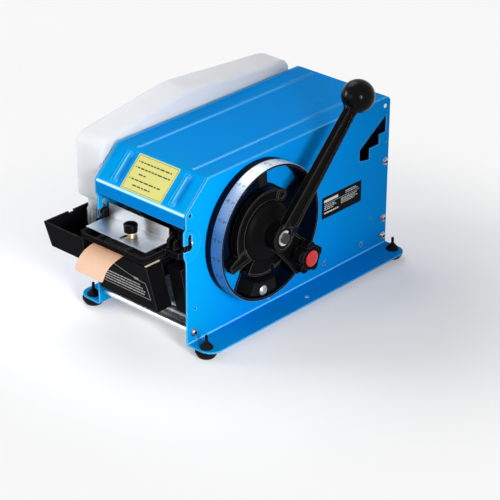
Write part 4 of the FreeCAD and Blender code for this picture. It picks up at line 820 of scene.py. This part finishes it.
def makeInstructionLabel():
    spec = instructionLabel
    slope = Vector((0, *spec["slant"])).normalized()
    across, along = spec["middle"]
    middle = (Vector((across, *spec["slantFoot"])) + slope * along) / 1000
    ground = patch(middle, (1, 0, 0), slope)
    label = sheetLabel("instruction_label", ground, spec["size"], spec["corner"], spec["thick"])
    dress(label, printInk("labelPaper", spec["paper"]), "cover")
    ink = printInk("labelInk", spec["ink"])
    rise = spec["thick"] + spec["inkRise"]
    rows = [(*line, spec["lineHeight"]) for line in spec["lines"]]
    bars = printRows(rows, spec["words"], spec["gap"], spec["seed"])
    size = spec["bulletSize"]
    bars += [(spec["bulletAcross"], level, size, size) for level in spec["bullets"]]
    words = stampBars(ground, bars, rise, "label_lines")
    dress(words, ink, "cover")
    w, h = (s / 2 - spec["borderInset"] for s in spec["size"])
    corners = ((w, h), (-w, h), (-w, -h), (w, -h))
    border = ringOutline("label_border", ground, corners, spec["borderWidth"], rise)
    dress(border, ink, "cover")


makeInstructionLabel()
print("instruction label made")

ratingPlate = {
    "middle": (90.0, 112.0, 123.5),
    "size": (90, 35),
    "corner": 2.0,
    "thick": 0.4,
    "inkRise": 0.08,             # over the plate
    "ground": (0.003, 0.003, 0.0034),
    "roughness": 0.3,
    "specular": 0.03,
    "ink": (0.62, 0.62, 0.62),
    "solid": ((-25, 10.4, 32, 4.4), (0, 5.6, 80, 0.5)),   # whole bars, as stampBars takes them
    # the level, start, end and height of each row of words
    "rows": ((12.0, 8, 34, 1.3), (9.2, 8, 39, 1.0),
             (2.6, -40, -16, 1.2), (-0.4, -40, -12, 1.2), (-3.4, -40, -18, 1.2),
             (2.6, -2, 37, 1.0), (0.2, -2, 33, 1.0), (-2.2, -2, 38, 1.0), (-4.6, -2, 29, 1.0),
             (-9.0, -40, -8, 2.4)),
    "words": (3.0, 7.5),
    "gap": 1.1,
    "seed": 9,
}


def makeRatingPlate():
    spec = ratingPlate
    ground = patch(mm(*spec["middle"]), (0, 1, 0), (0, 0, 1))
    plate = sheetLabel("rating_plate", ground, spec["size"], spec["corner"], spec["thick"])
    gloss = moulded("plateGloss", spec["ground"], spec["roughness"], spec["specular"])
    dress(plate, gloss, "base")
    bars = [*spec["solid"], *printRows(spec["rows"], spec["words"], spec["gap"], spec["seed"])]
    marks = stampBars(ground, bars, spec["thick"] + spec["inkRise"], "rating_plate_lines")
    dress(marks, printInk("plateInk", spec["ink"]), "base")


makeRatingPlate()
print("rating plate made")

guardPrint = {
    "top": (-262, 140),          # Y and Z of the guard's leaning front
    "bottom": (-241, 60),
    "rise": 0.1,                 # off the guard
    "outline": ((-53.5, 19.5), (-53.5, 46), (-36, 62.8), (-18, 62.8), (27, 50.5), (43.5, 49.5), (45.5, 19.5)),
    "width": 0.9,
    # the level, start and end of each line
    "lines": ((42.0, -49, 30), (36.6, -50, 34), (31.2, -50, 37), (25.8, -50, 37)),
    "lineHeight": 2.4,
    "words": (4, 11),
    "gap": 1.0,
    "mark": (25, 51.5, 9, 4.2),  # one whole bar
    "ink": (0.3, 0.3, 0.3),
    "seed": 12,
}


def makeGuardPrint():
    spec = guardPrint
    top, bottom = Vector((0, *spec["top"])), Vector((0, *spec["bottom"]))
    ground = patch(bottom / 1000, (1, 0, 0), top - bottom)
    ink = printInk("guardInk", spec["ink"])
    outline = ringOutline("guard_outline", ground, spec["outline"], spec["width"], spec["rise"])
    dress(outline, ink, "base")
    rows = [(*line, spec["lineHeight"]) for line in spec["lines"]]
    bars = [*printRows(rows, spec["words"], spec["gap"], spec["seed"]), spec["mark"]]
    lines = stampBars(ground, bars, spec["rise"], "guard_lines")
    dress(lines, ink, "base")


makeGuardPrint()
print("guard print made")

dialScale = {
    "shaft": (-80, 150),         # Y and Z
    "radius": 103.08,
    "edges": (102.3, 120.7),     # X of the two edges that the ticks start from
    "arc": (40, 250),            # degrees
    "step": 3.2,                 # degrees between ticks
    "longEvery": 5,
    "tick": (0.55, 2.3),
    "longTick": (0.75, 3.8),
    "rows": ((107.6, 10, 4.3), (115.0, 4, 3.7)),   # X of a row, what each number adds, digit height
    "textSize": 1.4,             # of the text, for a digit height of one
    "ink": (0.012, 0.014, 0.03),
}


def onDial(angle, x):
    turned = math.radians(angle)
    y, z = dialScale["shaft"]
    r = dialScale["radius"]
    place = mm(x, y + r * math.cos(turned), z + r * math.sin(turned))
    return patch(place, (0, -math.sin(turned), math.cos(turned)), (1, 0, 0))


def dialNumber(number, tall, place):
    bpy.ops.object.select_all(action="DESELECT")
    bpy.ops.object.text_add()
    text = bpy.context.object.data
    text.body = str(number)
    text.size = tall / 1000 * dialScale["textSize"]
    text.align_x, text.align_y = "CENTER", "CENTER"
    text.resolution_u = 2
    bpy.ops.object.convert(target="MESH")
    bpy.context.object.matrix_world = place
    return bpy.context.object


def makeDialScale():
    spec = dialScale
    ink = printInk("dialInk", spec["ink"])
    first, last = spec["arc"]
    every = spec["longEvery"]
    count = int((last - first) / spec["step"])
    places = []
    for i in range(count + 1):
        width, length = spec["longTick"] if i % every == 0 else spec["tick"]
        for edge, way in zip(spec["edges"], (1, -1)):
            spot = onDial(first + i * spec["step"], edge + way * length / 2)
            places.append(spot @ Matrix.Diagonal((*mm(width, length), 1, 1)))
    ticks = stamp(unitPlane(), places, "dial_ticks")
    dress(ticks, ink, "base")
    numbers = []
    for x, adds, tall in spec["rows"]:
        for i in range(every, count, every):
            number = adds * (count // every + 1 - i // every)
            numbers.append(dialNumber(number, tall, onDial(first + i * spec["step"], x)))
    selectOnly(numbers)
    bpy.ops.object.join()
    digits = newPiece("dial_numbers")
    freezePlace(digits)
    dress(digits, ink, "base")


makeDialScale()
print("dial scale made")

tapeTongue = {
    "sides": (-52, 8),           # X
    "back": -194.5,              # Y of its end under the brush cover
    "level": 141.55,
    # Y and Z of the left edge, then of the right edge, from the guard to the cut end
    "curl": ((-250, 141.55, -248, 141.55), (-262, 141.3, -261, 141.6), (-273, 139.2, -272, 140.3),
             (-282, 135.6, -281.5, 137.5), (-289.3, 130.3, -289.7, 133.5), (-294.2, 123.6, -296, 127.9),
             (-297.2, 117.4, -300, 121), (-298.8, 113.2, -302.4, 114.6)),
    "firstRow": 20,              # from the flat grid to the curl's first row
    "columns": 8,
    "rows": 3,
    "bow": (0.6, 1.0),           # how far the middle of the cut end stands out and up
    "thick": 0.3,
    "levels": 2,
    "sharp": 40,                 # degrees from which an edge stays sharp
}


def makeTapeTongue():
    spec = tapeTongue
    left, right = spec["sides"]
    back, front = spec["back"], spec["curl"][0][0] + spec["firstRow"]
    out, up = spec["bow"]
    bpy.ops.object.select_all(action="DESELECT")
    bpy.ops.mesh.primitive_grid_add(x_subdivisions=spec["columns"], y_subdivisions=spec["rows"], size=1)
    piece = newPiece("tape_tongue")
    bpy.ops.object.mode_set(mode="EDIT")
    bpy.ops.transform.resize(value=mm(right - left, back - front) + [1])
    bpy.ops.transform.translate(value=mm((left + right) / 2, (back + front) / 2, spec["level"]))
    edge = min(v.co.y for v in bmesh.from_edit_mesh(piece.data).verts)
    pick(piece, "EDGE", lambda e: all(abs(v.co.y - edge) < 1e-5 for v in e.verts))
    for step, (yLeft, zLeft, yRight, zRight) in enumerate(spec["curl"]):
        # the new row is put in its place just below
        bpy.ops.mesh.extrude_edges_move(TRANSFORM_OT_translate={"value": mm(0, -8, 0)})
        mesh = bmesh.from_edit_mesh(piece.data)
        for v in mesh.verts:
            if v.select:
                share = (v.co.x * 1000 - left) / (right - left)
                bow = (step / len(spec["curl"])) ** 2 * (1 - (2 * share - 1) ** 2)
                v.co.y = (yLeft + (yRight - yLeft) * share - bow * out) / 1000
                v.co.z = (zLeft + (zRight - zLeft) * share + bow * up) / 1000
        bmesh.update_edit_mesh(piece.data)
    faceOut()
    bpy.ops.object.mode_set(mode="OBJECT")
    smooth = piece.modifiers.new("smooth", "SUBSURF")
    smooth.levels = smooth.render_levels = spec["levels"]
    wall = piece.modifiers.new("wall", "SOLIDIFY")
    wall.thickness = spec["thick"] / 1000
    wall.offset = 0
    for modifier in ("smooth", "wall"):
        bpy.ops.object.modifier_apply(modifier=modifier)
    smoothTo(spec["sharp"])
    dress(piece, finish["kraft_paper"], "base")
    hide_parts("tape_end")


makeTapeTongue()
print("tape tongue made")

brush = {
    "rows": (-241.5, -228, -214.5),   # Y of each brush
    "depths": (-2.9, 0, 2.9),    # Y of its tufts, from its middle
    "sides": (-45.5, 41.7),      # X
    "step": 3.1,
    "foot": 112.6,
    "top": 139.6,
    "root": 0.75,
    "tip": 1.3,
    "point": 1.6,                # how far the tip's middle sinks in
    "corners": 6,
    "lean": 0.02,                # radians either way
    "stray": 0.3,
    "height": (0.965, 0.995),    # of a tuft, for a full one
    "seed": 3,
}


def makeBristles():
    spec = brush
    height = spec["top"] - spec["foot"]
    bpy.ops.object.select_all(action="DESELECT")
    bpy.ops.mesh.primitive_cylinder_add(vertices=spec["corners"], radius=spec["root"] / 1000,
                                        depth=height / 1000, location=mm(0, 0, height / 2))
    tuft = bpy.context.object
    bpy.ops.object.transform_apply(location=True)
    bpy.ops.object.mode_set(mode="EDIT")
    pick(tuft, "FACE", lambda face: face.normal.z > 0.9)
    wide = spec["tip"] / spec["root"]
    bpy.ops.transform.resize(value=(wide, wide, 1))
    bpy.ops.mesh.poke(offset=-spec["point"] / 1000)
    bpy.ops.object.mode_set(mode="OBJECT")
    dice = random.Random(spec["seed"])
    lean, stray = spec["lean"], spec["stray"]
    places = []
    for row in spec["rows"]:
        for depth in spec["depths"]:
            x = spec["sides"][0]
            while x < spec["sides"][1]:
                turn = (Matrix.Rotation(dice.uniform(-lean, lean), 4, "X")
                        @ Matrix.Rotation(dice.uniform(-lean, lean), 4, "Y"))
                short = Matrix.Diagonal((1, 1, dice.uniform(*spec["height"]), 1))
                spot = Matrix.Translation(mm(x + dice.uniform(-stray, stray), row + depth, spec["foot"]))
                places.append(spot @ turn @ short)
                x += spec["step"]
    tufts = stamp(tuft, places, "brush_tufts")
    dress(tufts, finish["bristle"], "base")
    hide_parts("brush_bristles")


makeBristles()
print("bristles made")

thumbGrip = {
    "middle": (-7.5, -231),      # X and Y
    "seat": 160.3,               # top of the pressure plate, with its running gap
    "sides": 64,
    "radius": 10.4,
    "foot": 9.7,
    "height": 14.3,              # from the seat to the foot of the crown
    "crown": ((0.9, 1.3), (1.9, 0.6), (2.8, 0.2)),   # how far each ring lies in, and how far it rises
    "flutes": 16,
    "fluteInset": 0.1,
    "fluteDepth": 1.0,
    "edge": 0.35,
    "collar": 8.2,
    "collarHeight": 3.4,
    "collarGap": 0.05,           # under the grip
    "collarEdge": 0.6,
    "studRadius": 2.5,
    "studSides": 24,
    "studBottom": 149.0,
    "studOverlap": 0.5,          # into the grip
}


def roundBar(name, radius, low, high, middle, sides):
    bpy.ops.object.select_all(action="DESELECT")
    bpy.ops.mesh.primitive_cylinder_add(vertices=sides, radius=radius / 1000, depth=(high - low) / 1000,
                                        location=mm(*middle, (low + high) / 2))
    piece = newPiece(name)
    bpy.ops.object.transform_apply(location=True)
    return piece


def roundEdges(piece, width, segments, angle=30, sharp=35):
    selectOnly([piece])
    bevel = piece.modifiers.new("edge", "BEVEL")
    bevel.width, bevel.segments = width / 1000, segments
    bevel.limit_method, bevel.angle_limit = "ANGLE", math.radians(angle)
    bpy.ops.object.modifier_apply(modifier="edge")
    smoothTo(sharp)


def makeThumbGrip():
    spec = thumbGrip
    seat, middle, sides = spec["seat"], spec["middle"], spec["sides"]
    foot = seat + spec["collarHeight"]
    grip = roundBar("thumb_grip", spec["radius"], foot, seat + spec["height"], middle, sides)
    bpy.ops.object.mode_set(mode="EDIT")
    pick(grip, "FACE", lambda face: face.normal.z < -0.9)
    share = spec["foot"] / spec["radius"]
    bpy.ops.transform.resize(value=(share, share, 1), center_override=mm(*middle, foot))
    pick(grip, "FACE", lambda face: face.normal.z > 0.9)
    for inset, lift in spec["crown"]:
        bpy.ops.mesh.inset(thickness=inset / 1000)
        bpy.ops.transform.translate(value=mm(0, 0, lift))
    x, y = mm(*middle)

    def isFlute(face):
        spot = face.calc_center_median()
        turned = math.atan2(spot.y - y, spot.x - x) % (2 * math.pi)
        side = int(turned / (2 * math.pi) * sides)
        return abs(face.normal.z) < 0.3 and side % (sides // spec["flutes"]) == 0

    pick(grip, "FACE", isFlute)
    bpy.ops.mesh.inset(thickness=spec["fluteInset"] / 1000, depth=-spec["fluteDepth"] / 1000,
                       use_individual=True)
    bpy.ops.object.mode_set(mode="OBJECT")
    roundEdges(grip, spec["edge"], segments=2)
    stud = roundBar("stud", spec["studRadius"], spec["studBottom"], foot + spec["studOverlap"],
                    middle, spec["studSides"])
    selectOnly([grip, stud])
    bpy.ops.object.join()
    dress(grip, finish["knob_plastic"], "thumb_knob")
    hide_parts("thumb_knob")
    collar = roundBar("grip_collar", spec["collar"], seat, foot - spec["collarGap"], middle, sides)
    roundEdges(collar, spec["collarEdge"], segments=3)
    dress(collar, finish["brass"], "thumb_knob")
    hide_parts("thumb_knob_collar")


makeThumbGrip()
print("thumb grip made")

# a pale strip on the guard's top edge, a painted highlight standing in for the light it catches
guardHighlight = {
    "across": (49.6, 53.0),      # X
    "along": (-261.6, -234.0),   # Y
    "level": 140.0,
    "corner": 0.4,
    "thick": 0.35,
    "colour": (0.7, 0.64, 0.48),
}


def makeGuardStrip():
    spec = guardHighlight
    (x0, x1), (y0, y1) = spec["across"], spec["along"]
    ground = patch(mm((x0 + x1) / 2, (y0 + y1) / 2, spec["level"]), (1, 0, 0), (0, 1, 0))
    strip = sheetLabel("guard_highlight_strip", ground, (x1 - x0, y1 - y0), spec["corner"], spec["thick"])
    dress(strip, printInk("stripHighlight", spec["colour"]), "base")


makeGuardStrip()
print("guard strip made")

notchScrew = {
    "middle": (-203.6, 168.0),   # Y and Z
    "seat": 86.0,                # X of its flat side
    "radius": 2.4,
    "height": 1.4,
    "sharp": 40,
}


def makeNotchScrew():
    spec = notchScrew
    bpy.ops.object.select_all(action="DESELECT")
    bpy.ops.mesh.primitive_uv_sphere_add(segments=24, ring_count=12, radius=spec["radius"] / 1000)
    head = newPiece("notch_screw")
    bpy.ops.object.mode_set(mode="EDIT")
    bpy.ops.mesh.bisect(plane_co=(0, 0, 0), plane_no=(1, 0, 0), clear_inner=True, use_fill=True)
    bpy.ops.mesh.select_all(action="SELECT")
    bpy.ops.transform.resize(value=(spec["height"] / spec["radius"], 1, 1))
    bpy.ops.transform.translate(value=mm(spec["seat"], *spec["middle"]))
    bpy.ops.object.mode_set(mode="OBJECT")
    smoothTo(spec["sharp"])
    dress(head, finish["zinc_steel"], "base")


makeNotchScrew()
print("notch screw made")

# flat dark hexagons on the screw heads, painted shade standing in for their sockets
screwSockets = {
    "rear": 212,                 # Y of the rear screws
    "heights": (27.0, 57.0, 153.0),
    "face": 93.8,                # X of the screw heads' faces
    "radius": 2.4,
    "thick": 0.12,
    "colour": (0.012, 0.013, 0.016),
}


def makeSockets():
    spec = screwSockets
    bpy.ops.object.select_all(action="DESELECT")
    bpy.ops.mesh.primitive_cylinder_add(vertices=6, radius=spec["radius"] / 1000, depth=spec["thick"] / 1000)
    socket = bpy.context.object
    low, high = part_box("front_tie_rod")
    spots = [(spec["rear"], height) for height in spec["heights"]]
    spots.append(((low[1] + high[1]) * 500, (low[2] + high[2]) * 500))
    out = spec["face"] + spec["thick"] / 2
    places = [patch(mm(side * out, y, z), (0, side, 0), (0, 0, 1)) for y, z in spots for side in (1, -1)]
    sockets = stamp(socket, places, "screw_sockets")
    dress(sockets, moulded("socketShade", spec["colour"]), "base")


makeSockets()
print("screw sockets made")
